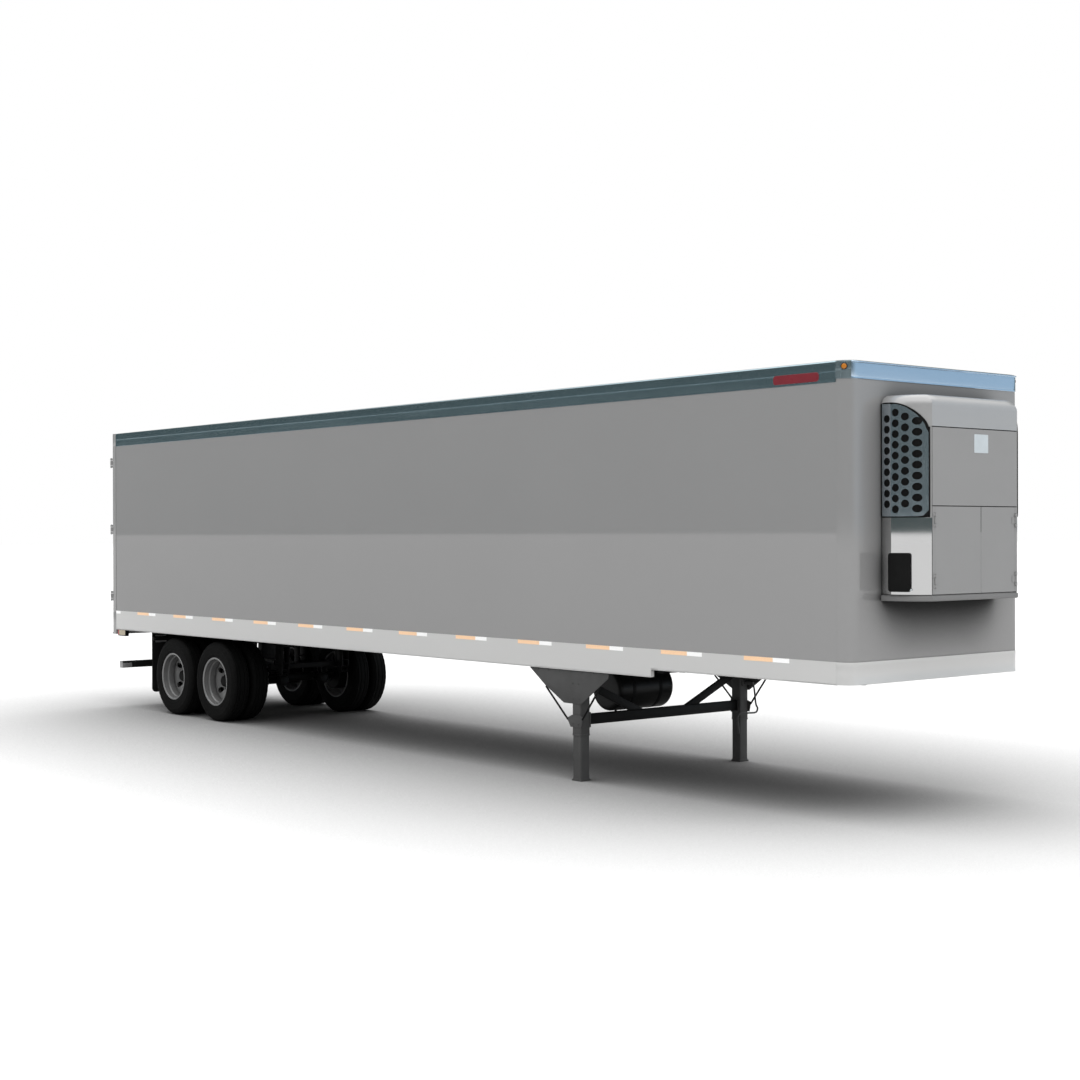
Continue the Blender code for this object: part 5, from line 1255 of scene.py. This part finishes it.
def build_tank():
    half, radius, edge, tank_y = 0.4135, 0.2425, 0.055, 0.0015
    ends = [(0.0, -half - 0.004), (0.12, -half - 0.003)]
    ends += [(radius - edge + edge * math.cos(a), -half + edge - edge * math.sin(a))
             for a in (math.radians(90 - 15 * k) for k in range(7))]
    profile = ends + [(r, -h) for r, h in reversed(ends)]
    build = bmesh.new()
    turned(build, profile, 64, (TANK_X, tank_y, TANK_Z), (0, 1, 0))
    neck = Vector((TANK_X - 0.175, -0.29, TANK_Z + 0.15))
    out = Vector((-0.72, 0, 0.69)).normalized()
    bar(build, neck, neck + out * 0.05, 0.034, 28, 0.002)
    bar(build, (TANK_X + 0.05, -0.31, TANK_Z - 0.246), (TANK_X + 0.05, -0.31, TANK_Z - 0.235), 0.016, 6,
        0.001)
    piece("tank_shell", build, "tank_black", stands_for=("fuel_tank",), crease=50)
    build = bmesh.new()
    turned(build, ((0.0, 0.074), (0.026, 0.074), (0.04, 0.07), (0.043, 0.064), (0.043, 0.048), (0.0, 0.048)),
           28, neck, out)
    piece("tank_cap", build, "zinc")

    build = bmesh.new()
    top = 1.2047
    for side in BOTH:
        y = side * 0.2
        ring = ((0.2418, -0.025), (0.2418, 0.025), (0.2434, 0.025), (0.244, 0.022), (0.244, -0.022),
                (0.2434, -0.025))
        turned(build, ring, 64, (TANK_X, y, TANK_Z), (0, 1, 0))
        saddle = [(TANK_X - 0.19, top), (TANK_X + 0.19, top), (TANK_X + 0.19, TANK_Z + 0.16)]
        saddle += [(TANK_X + 0.2495 * math.cos(a), TANK_Z + 0.2495 * math.sin(a))
                   for a in (math.radians(40 + 10 * k) for k in range(11))]
        saddle += [(TANK_X - 0.19, TANK_Z + 0.16)]
        pushed(build, saddle, y - 0.024, y + 0.024, "Y", 0.001)
        for x in (-0.16, 0.16):
            bar(build, (TANK_X + x, y, top - 0.075), (TANK_X + x, y, top - 0.045), 0.012, 6, 0.001)
    block(build, (TANK_X - 0.05, -0.2125, top - 0.03), (TANK_X + 0.05, 0.2125, top - 0.01), 0.003)
    piece("tank_cradle", build, "chassis", stands_for=("tank_straps",))


def i_beam(x, wide, low, high, flange, web):
    return [(x - wide / 2, low), (x + wide / 2, low), (x + wide / 2, low + flange),
            (x + web / 2, low + flange + 0.004), (x + web / 2, high - flange - 0.004),
            (x + wide / 2, high - flange), (x + wide / 2, high), (x - wide / 2, high),
            (x - wide / 2, high - flange), (x - web / 2, high - flange - 0.004),
            (x - web / 2, low + flange + 0.004), (x - wide / 2, low + flange)]


def build_crossmembers():
    build = bmesh.new()
    end = 1.2497
    for k in range(40):
        x = 0.3048 * (k + 1)
        low = 1.205 if k < 39 else 1.23
        pushed(build, i_beam(x, 0.057, low, 1.31, 0.006, 0.005), -end, end, "Y", 0)
        blocks(build, (
            (x - 0.04, end - 0.006, low, x + 0.04, end, 1.3, 0),
        ), BOTH)
    blocks(build, (
        (0.3048, 0.46, 1.225, 12.192, 0.52, 1.245, 0.002),
    ), BOTH)
    piece("crossmember_beams", build, "chassis", stands_for=("crossmembers",))

    build = bmesh.new()
    block(build, (12.3, -0.795, 1.2), (14.045, 0.795, 1.212), 0.003)
    for y in (-0.76, -0.38, 0.0, 0.38, 0.76):
        block(build, (12.3, y - 0.03, 1.211), (14.045, y + 0.03, 1.3097), 0.003)
    for x in (12.33, 12.9, 13.431, 14.01):
        block(build, (x - 0.03, -0.795, 1.211), (x + 0.03, 0.795, 1.3097), 0.003)
    for x in (12.42, 12.86, 13.66, 13.94):
        for y in (-0.6, -0.2, 0.2, 0.6):
            bar(build, (x, y, 1.1985), (x, y, 1.2005), 0.014, 18, 0.0005)
    turned(build, ((0.0365, -0.003), (0.105, -0.003), (0.112, 0.0), (0.112, 0.004), (0.0365, 0.004)), 40,
           (KINGPIN_X, 0, 1.1998), (0, 0, 1))
    piece("coupler_underside", build, "chassis", stands_for=("coupler_plate",))

    build = bmesh.new()
    pin = ((0.0, 0.0), (0.033, 0.0), (0.0356, 0.003), (0.0356, 0.018), (0.034, 0.02), (0.0254, 0.024),
           (0.0252, 0.058), (0.033, 0.06), (0.0363, 0.064), (0.0363, 0.083), (0.0, 0.083))
    turned(build, pin, 48, (KINGPIN_X, 0, KINGPIN_FACE), (0, 0, 1))
    piece("kingpin_turned", build, "zinc", stands_for=("kingpin",))


AXLE_Z = TYRE_RADIUS
SPRING_Y = 0.49
HANGER_XS = (1.155, 2.365, 3.5203)


def build_bogie():
    build = bmesh.new()
    top, low = 1.2045, 1.0545
    for side in BOTH:
        middle = SPRING_Y
        for edge in (-0.05, 0.044):
            y = side * (middle + edge)
            reach = sorted((y, y + side * 0.006))
            holes = []
            for k in range(17):
                holes.append(circle(0.02, 14, (1.06 + 0.1524 * k, 1.128)))
            outline = [(0.95, low), (3.62, low), (3.62, top), (0.95, top)]
            pierced(build, outline, holes, [], lambda x, z, out, base=reach[0]: (x, base + out, z), 0.006,
                    0.5)
        for z in (low, top - 0.008):
            block_on(build, side, (0.95, middle - 0.0495, z), (3.62, middle + 0.0495, z + 0.008), 0.002)
        block_on(build, side, (1.3, middle + 0.05, 1.08), (1.48, middle + 0.058, 1.17), 0.003)
    for x in (1.05, 2.365, 3.52):
        blocks(build, (
            (x - 0.05, -SPRING_Y, 1.075, x + 0.05, SPRING_Y, 1.083, 0.002),
            (x - 0.05, -SPRING_Y, 1.176, x + 0.05, SPRING_Y, 1.184, 0.002),
            (x - 0.006, -SPRING_Y, 1.082, x + 0.006, SPRING_Y, 1.177, 0.001),
        ))
    blocks(build, (
        (0.925, 0.44, 1.028, 0.975, 1.165, 1.086, 0.006),
    ), BOTH)
    tank_x, tank_z, half = 1.08, 0.985, 0.395
    ends = [(0.0, -half), (0.045, -half + 0.002), (0.07, -half + 0.014), (0.084, -half + 0.036)]
    turned(build, ends + [(r, -h) for r, h in reversed(ends)], 40, (tank_x, 0, tank_z), (0, 1, 0))
    for y in (-0.25, 0.25):
        turned(build, ((0.084, -0.015), (0.084, 0.015), (0.0865, 0.015), (0.0865, -0.015)), 40,
               (tank_x, y, tank_z), (0, 1, 0))
        block(build, (tank_x - 0.04, y - 0.016, tank_z + 0.06), (tank_x + 0.02, y + 0.016, 1.0765), 0.002)
    piece("bogie_rails", build, "chassis", stands_for=("bogie_frame",))

    build = bmesh.new()
    loop = rounded((3.375, 0.7125), (3.445, 0.789), 0.01, 4)
    pushed(build, loop, -0.648, 0.648, "Y", 0.003)
    for side in BOTH:
        y = side * SPRING_Y
        pushed(build, rounded((3.376, y - 0.049), (3.444, y + 0.049), 0.01, 4), 0.78, 1.0542, "Z", 0.002)
        blocks(build, (
            (3.44, 0.435, 0.79, 3.4455, 0.545, 0.86, 0.002),
            (3.376, 0.64, 0.706, 3.444, 0.6485, 0.795, 0.003),
        ), (side,))
        for z in (0.8, 0.85):
            bolt(build, (3.4452, side * 0.46, z), (1, 0, 0), 0.009)
            bolt(build, (3.4452, side * 0.52, z), (1, 0, 0), 0.009)
    piece("bogie_beam_formed", build, "chassis", stands_for=("bogie_front_beam",))

    for word, side in SIDES:
        y = side * SPRING_Y
        build = bmesh.new()
        for x in HANGER_XS:
            for edge in (-1, 1):
                plate = [(x - 0.04, 0.622), (x + 0.04, 0.622), (x + 0.06, 0.72), (x + 0.074, 1.054),
                         (x - 0.074, 1.054), (x - 0.06, 0.72)]
                low = y + edge * 0.055 - (0.008 if edge > 0 else 0)
                pushed(build, plate, low, low + 0.008, "Y", 0.002)
            blocks(build, (
                (x - 0.066, y - 0.05, 0.8, x + 0.066, y + 0.05, 0.808, 0.001),
                (x - 0.07, y - 0.05, 1.03, x + 0.07, y + 0.05, 1.054, 0.001),
            ))
            bar(build, (x, y - 0.058, 0.645), (x, y + 0.058, 0.645), 0.014, 20, 0.001)
            for out in (-1, 1):
                bolt(build, (x, y + out * 0.0565, 0.645), (0, out, 0), 0.016)
        for axle_x, start, end in ((1.76, 1.115, 2.33), (2.97, 2.4, 3.56)):
            for leaf, reach in enumerate((1.0, 0.86, 0.62, 0.4)):
                low_x = axle_x - (axle_x - start) * reach
                high_x = axle_x + (end - axle_x) * reach
                base = 0.6985 - 0.0125 * leaf
                upper, lower = [], []
                for i in range(13):
                    x = low_x + (high_x - low_x) * i / 12
                    bow = 0.01 * (1 - ((x - axle_x) / 0.62) ** 2) - 0.008
                    upper.append((x, base + 0.0118 - bow))
                    lower.append((x, base - bow))
                pushed(build, lower + upper[::-1], y - 0.038, y + 0.038, "Y", 0.001, 1)
        piece("springs_" + word, build, "chassis", stands_for=("suspension_" + word,))

        build = bmesh.new()
        for _, axle_x in AXLES:
            for x in (axle_x - 0.058, axle_x + 0.058):
                line = [(x, y - 0.045, 0.475), (x, y - 0.045, 0.712), (x, y - 0.038, 0.722),
                        (x, y + 0.038, 0.722), (x, y + 0.045, 0.712), (x, y + 0.045, 0.475)]
                pipe(build, line, 0.008, 12)
                for across in (-0.045, 0.045):
                    bar(build, (x, y + across, 0.468), (x, y + across, 0.48), 0.0135, 6, 0.001)
            blocks(build, (
                (axle_x - 0.085, y - 0.058, 0.478, axle_x + 0.085, y + 0.058, 0.49, 0.003),
                (axle_x - 0.08, y - 0.04, 0.7, axle_x + 0.08, y + 0.04, 0.716, 0.003),
            ))
        piece("spring_clamps_" + word, build, "leg_steel")

    for label, axle_x in AXLES:
        build = bmesh.new()
        for side in BOTH:
            tube = ((0.0, 0.0), (0.064, 0.0), (0.064, 0.56), (0.0605, 0.575), (0.0605, 0.6), (0.1, 0.602),
                    (0.102, 0.606), (0.102, 0.616), (0.1, 0.62), (0.056, 0.622), (0.042, 0.632),
                    (0.0418, 0.999), (0.0, 0.999))
            turned(build, tube, 48, (axle_x, 0, AXLE_Z), (0, side, 0))
            block_on(build, side, (axle_x - 0.068, SPRING_Y - 0.037, 0.48),
                     (axle_x + 0.068, SPRING_Y + 0.037, 0.659), 0.006)
            y, z = side * 0.33, AXLE_Z - 0.015
            can = ((0.0, 0.0), (0.04, 0.0), (0.062, 0.006), (0.073, 0.018), (0.0755, 0.04), (0.0755, 0.06),
                   (0.082, 0.062), (0.082, 0.074), (0.0755, 0.076), (0.0755, 0.104), (0.082, 0.106),
                   (0.082, 0.118), (0.0755, 0.12), (0.072, 0.14), (0.058, 0.154), (0.03, 0.16), (0.0, 0.16))
            turned(build, can, 40, (axle_x + 0.164, y, z), (1, 0, 0))
            bar(build, (axle_x + 0.04, y, z), (axle_x + 0.166, y, z), 0.009, 14)
            block(build, (axle_x + 0.04, y - 0.052, z - 0.05), (axle_x + 0.048, y + 0.052, z + 0.05), 0.002)
            for dz in (-0.036, 0.036):
                bar(build, (axle_x + 0.044, y, z + dz), (axle_x + 0.17, y, z + dz), 0.0075, 12)
            block(build, (axle_x + 0.046, y - 0.01, z - 0.02), (axle_x + 0.076, y + 0.01, z + 0.02), 0.004)
            bar(build, (axle_x + 0.085, side * 0.345, AXLE_Z + 0.03),
                (axle_x + 0.085, side * 0.632, AXLE_Z + 0.03), 0.016, 18)
            pushed(build, [(axle_x + 0.06, z - 0.018), (axle_x + 0.11, z + 0.02), (axle_x + 0.105, z + 0.07),
                           (axle_x + 0.065, z + 0.07), (axle_x + 0.05, z + 0.01)],
                   *sorted((side * 0.352, side * 0.372)), "Y", 0.003)
        piece("axle_turned_" + label, build, "chassis", stands_for=("axle_" + label,), crease=40)


def build_guard():
    build = bmesh.new()
    pushed(build, rounded((-0.02, 0.574), (0.08, 0.676), 0.012, 5), -1.227, 1.227, "Y", 0.002)
    for side in BOTH:
        y = side * 0.52
        pushed(build, rounded((-0.02, y - 0.05), (0.08, y + 0.05), 0.01, 4), 0.67, 1.0895, "Z", 0.002)
        brace = ((0.06, 0.726), (0.06, 0.656), (0.6096, 1.1347), (0.6096, 1.2047), (0.5296, 1.2047))
        pushed(build, brace, y - 0.03, y + 0.03, "Y", 0.003)
        gusset = ((0.079, 0.675), (0.079, 0.8), (0.18, 0.8))
        pushed(build, gusset, y - 0.044, y - 0.038, "Y", 0.001)
        pushed(build, gusset, y + 0.038, y + 0.044, "Y", 0.001)
        block_on(build, side, (-0.03, 0.455, 1.06), (0.09, 0.585, 1.0895), 0.003)
        for x in (-0.012, 0.072):
            for across in (-0.055, 0.055):
                bolt(build, (x, y + across, 1.0605), (0, 0, -1), 0.008)
    piece("guard_bar", build, "guard_black", stands_for=("underride_guard",))
    build = bmesh.new()
    blocks(build, (
        (0.0795, 1.075, 0.576, 0.082, 1.2265, 0.648, 0.0008),
        (-0.019, 1.2265, 0.575, 0.0795, 1.2295, 0.675, 0.001),
    ), BOTH)
    piece("guard_end_plates", build, "guard_plate")


def build_flaps():
    x = 0.9144
    for word, side in SIDES:
        build = bmesh.new()
        outline = [(side * y, z) for y, z in rounded((0.64, 0.262), (1.168, 1.18), 0.06, 6)]
        pushed(build, outline, x - 0.0045, x + 0.0045, "X", 0.0015)
        for k in range(9):
            y = 0.69 + 0.0535 * k
            blocks(build, (
                (x + 0.004, y, 0.33, x + 0.006, y + 0.01, 0.96, 0.0008),
                (x - 0.006, y, 0.33, x - 0.004, y + 0.01, 0.96, 0.0008),
            ), (side,))
        block_on(build, side, (x - 0.005, 0.64, 1.12), (x + 0.005, 1.168, 1.2045), 0.001)
        piece("flap_sheet_" + word, build, "rubber", stands_for=("mud_flap_" + word,))
        build = bmesh.new()
        for low in (x + 0.006, x - 0.011):
            block_on(build, side, (low, 0.65, 1.135), (low + 0.005, 1.16, 1.175), 0.001)
        for y in (0.7, 0.82, 0.94, 1.06, 1.13):
            bolt(build, (x + 0.0108, side * y, 1.155), (1, 0, 0), 0.008)
        blocks(build, (
            (x + 0.012, 0.94, 1.0, x + 0.02, 1.12, 1.11, 0.004),
            (1.8, 0.96, 0.9, 1.93, 1.06, 0.95, 0.01, 3),
        ), (side,))
        piece("flap_brackets_" + word, build, "galvanised")


# Roof, load space and engine bay

def build_roof():
    build = bmesh.new()
    for k in range(1, 12):
        x = 1.2 * k
        block(build, (x - 0.02, -1.222, 4.128), (x + 0.02, 1.222, 4.13), 0.0008)
        for i in range(13):
            bar(build, (x, -1.14 + 0.19 * i, 4.1295), (x, -1.14 + 0.19 * i, 4.1312), 0.006, 10)
    piece("roof_seams", build, "roof_skin")


def build_load_space():
    build = bmesh.new()
    for k in range(66):
        y = -1.1375 + 0.035 * k
        pushed(build, [(y - 0.003, 1.4195), (y + 0.003, 1.4195), (y + 0.003, 1.429), (y + 0.013, 1.429),
                       (y + 0.013, 1.432), (y - 0.013, 1.432), (y - 0.013, 1.429), (y - 0.003, 1.429)], 0.06,
               14.17, "X", 0)
    piece("floor_ribs", build, "floor")
    build = bmesh.new()
    for side in BOTH:
        points = []
        for k in range(7):
            z = 1.45 + 0.045 * k
            points += [(side * 1.2165, z), (side * 1.2165, z + 0.018), (side * 1.2125, z + 0.024),
                       (side * 1.2125, z + 0.039)]
        points += [(side * 1.2205, 1.765), (side * 1.2205, 1.45)]
        pushed(build, points, 0.05, 14.15, "X", 0)
    piece("scuff_plates", build, "floor")
    build = bmesh.new()
    for x in (0.6 + 1.2 * k for k in range(12)):
        block(build, (x - 0.022, -1.22, 4.0735), (x + 0.022, 1.22, 4.078), 0.001)
    block(build, (14.195, -0.7, 2.0), (14.274, 0.7, 3.6), 0.012, 3)
    for k in range(12):
        z = 2.12 + 0.11 * k
        block(build, (14.183, -0.62, z), (14.199, 0.62, z + 0.055), 0.006)
    piece("load_space_fittings", build, "liner")


def build_engine():
    build = bmesh.new()
    base = 2.0393
    low_x = BODY_LENGTH + 0.05
    blocks(build, (
        (low_x, -0.24, base + 0.03, low_x + 0.24, 0.2, base + 0.23, 0.012, 3),
        (low_x + 0.02, -0.22, base + 0.231, low_x + 0.215, 0.18, base + 0.33, 0.01, 3),
        (low_x + 0.045, -0.2, base + 0.331, low_x + 0.19, 0.16, base + 0.385, 0.018, 4),
        (low_x + 0.02, -0.2, base, low_x + 0.22, 0.16, base + 0.031, 0.008),
    ))
    for k in range(4):
        y = -0.165 + 0.098 * k
        bar(build, (low_x + 0.214, y, base + 0.285), (low_x + 0.246, y, base + 0.285), 0.019, 20, 0.002)
        bar(build, (low_x + 0.118, y, base + 0.384), (low_x + 0.118, y, base + 0.4), 0.012, 6, 0.001)
    for y, z, radius in ((-0.262, 0.13, 0.072), (-0.262, 0.29, 0.046), (-0.262, 0.21, 0.03)):
        turned(build, ((0.0, -0.014), (radius * 0.4, -0.014), (radius * 0.8, -0.009), (radius, -0.013),
                       (radius, -0.006), (radius * 0.93, 0.0), (radius, 0.006), (radius, 0.013),
                       (0.0, 0.013)), 36, (low_x + 0.12, y, base + z), (0, -1, 0))
        bar(build, (low_x + 0.12, y, base + z), (low_x + 0.12, -0.235, base + z), 0.014, 18)
    block(build, (low_x + 0.01, 0.205, base + 0.02), (low_x + 0.2, 0.305, base + 0.2), 0.02, 4)
    bar(build, (low_x + 0.06, 0.255, base + 0.199), (low_x + 0.06, 0.255, base + 0.3), 0.04, 28, 0.006)
    bar(build, (low_x + 0.15, 0.255, base + 0.199), (low_x + 0.15, 0.255, base + 0.25), 0.03, 28, 0.004)
    for y in (-0.12, -0.02):
        turned(build, ((0.0, 0.0), (0.036, 0.0), (0.036, 0.01), (0.033, 0.014), (0.033, 0.078),
                       (0.026, 0.088), (0.0, 0.088)), 28, (low_x + 0.236, y, base + 0.075), (0, 0, 1))
        block(build, (low_x + 0.235, y - 0.02, base + 0.045), (low_x + 0.262, y + 0.02, base + 0.076), 0.004)
    line = [(low_x + 0.23, 0.06, base + 0.13), (low_x + 0.262, 0.06, base + 0.14),
            (low_x + 0.268, 0.1, base + 0.18),
            (low_x + 0.26, 0.18, base + 0.2), (low_x + 0.2, 0.22, base + 0.205)]
    pipe(build, smooth_line(line, 6), 0.01, 12)
    for side in BOTH:
        block(build, (low_x + 0.01, side * 0.15 - 0.02, base - 0.0002),
              (low_x + 0.235, side * 0.15 + 0.02, base + 0.012), 0.003)
    piece("engine_and_compressor", build, "engine", stands_for=("engine_block",))

    build = bmesh.new()
    for z in (2.56, 2.6, 2.64, 2.68, 2.72, 2.76):
        block(build, (14.375, -0.58, z), (14.495, 0.58, z + 0.006), 0.001)
    for y in (-0.58, 0.58):
        block(build, (14.371, y - 0.01, 2.54), (14.499, y + 0.01, 2.78), 0.002)
    for y in (-0.3, 0.0, 0.3):
        block(build, (14.371, y - 0.006, 2.54), (14.499, y + 0.006, 2.78), 0.001)
    block(build, (14.365, -0.6, 2.525), (14.505, 0.6, 2.545), 0.003)
    piece("engine_bay_rack", build, "zinc")


# Stage, camera and light

def build_stage():
    build = bmesh.new()
    bmesh.ops.create_grid(build, x_segments=1, y_segments=1, size=400)
    data = bpy.data.meshes.new("studio_floor")
    build.to_mesh(data)
    build.free()
    made = bpy.data.materials.new("studio_floor_white_painted_shadow")
    graph = Graph(made)
    shader = graph.nodes["Principled BSDF"].inputs
    graph.put(shader["Roughness"], 1.0)
    graph.put(shader["Specular IOR Level"], 0.0)
    # the floor's colour darkens by ambient occlusion near the trailer, a painted shadow under and round it
    tone = graph.nodes.new("ShaderNodeValToRGB")
    steps = tone.color_ramp.elements
    steps.new(0.8)
    for step, (near, grey) in zip(steps, ((0.25, 0.16), (0.8, 0.5), (1.0, 0.74))):
        step.position = near
        step.color = (grey, grey, grey, 1)
    near = graph.node("AmbientOcclusion", "AO", (("Distance", 5.5),), samples=8)
    graph.put(tone.inputs["Fac"], near)
    graph.put(shader["Base Color"], tone.outputs["Color"])
    data.materials.append(made)
    floor = bpy.data.objects.new("studio_floor", data)
    floor.location = (0, 0, -0.0008)
    bpy.context.scene.collection.objects.link(floor)


def build_world():
    """White for the camera, a soft dome for light, and a pale studio with a cool side for reflections."""
    world = bpy.data.worlds.new("studio")
    bpy.context.scene.world = world
    graph = Graph(world)
    place = graph.node("TexCoord", "Generated")
    x, y, z = (graph.node("SeparateXYZ", axis, (("Vector", place),)) for axis in "XYZ")
    front = graph.ramp(graph.combine("ADD", x, y), 0.7, 1.25)
    studio = graph.blend(front, (0.1, 0.135, 0.138), (0.62, 0.78, 0.92))
    studio = graph.blend(graph.ramp(z, 0.45, 0.85), studio, (3.0, 3.0, 3.0))
    studio = graph.blend(graph.ramp(z, 0.0, -0.0005), studio, (1.29, 1.29, 1.29))
    rise = graph.ramp(z, 0.0, 1.0, 0.45, 2.3)
    dome = graph.node("CombineXYZ", "Vector", [(axis, rise) for axis in "XYZ"])
    camera, glossy, through = (graph.node("LightPath", "Is {} Ray".format(kind))
                               for kind in ("Camera", "Glossy", "Transmission"))
    shown = graph.blend(glossy, dome, studio)
    shown = graph.blend(graph.combine("MAXIMUM", camera, through), shown, (1.0, 1.0, 1.0))
    graph.put(graph.nodes["Background"].inputs["Color"], shown)


def build_camera():
    focal, yaw, pitch, roll = 1728.72 / 1080, -50.1887, -0.2109, -0.1571
    yaw, pitch, roll = (math.radians(angle) for angle in (yaw, pitch, roll))
    ahead = Vector((math.sin(yaw) * math.cos(pitch), math.cos(yaw) * math.cos(pitch), math.sin(pitch)))
    right = Vector((math.cos(yaw), -math.sin(yaw), 0))
    up = right.cross(ahead)
    right, up = right * math.cos(roll) + up * math.sin(roll), up * math.cos(roll) - right * math.sin(roll)
    data = bpy.data.cameras.new("camera")
    data.sensor_width = 36
    data.lens = 36 * focal
    data.clip_end = 1000
    camera = bpy.data.objects.new("camera", data)
    place = Vector((REAR_X + 24.3383, -13.1808, 2.5994))
    camera.matrix_world = Matrix((
        (right.x, up.x, -ahead.x, place.x), (right.y, up.y, -ahead.y, place.y),
        (right.z, up.z, -ahead.z, place.z), (0, 0, 0, 1),
    ))
    bpy.context.scene.collection.objects.link(camera)
    bpy.context.scene.camera = camera


def dress_nodes():
    """Every imported solid gets the finish of its slot, but the roof gets the roof's look and the unit's
    housing black.
    """
    slots = {part["node"]: part["material_slot"] for part in frame["record"]["subparts"]}
    # the unit's housing behind its cover panels is black: the machine bay's dark inside, and painted shade in
    # the gaps between the panels
    special = {"roof": "roof_skin", "unit_housing": "seam"}
    for name, obj in frame["nodes"].items():
        look = LOOKS[special.get(name, slots[name])]
        if not obj.material_slots:
            obj.data.materials.append(look)
        for slot in obj.material_slots:
            slot.material = look


build_camera()
dress_nodes()
build_body()
build_unit()
build_tyres()
build_rims()
build_rear_frame()
build_rear_doors()
build_corner_lamps()
build_legs()
build_tank()
build_crossmembers()
build_bogie()
build_guard()
build_flaps()
build_roof()
build_load_space()
build_engine()
build_stage()
build_world()
bpy.context.scene.view_settings.view_transform = "Standard"
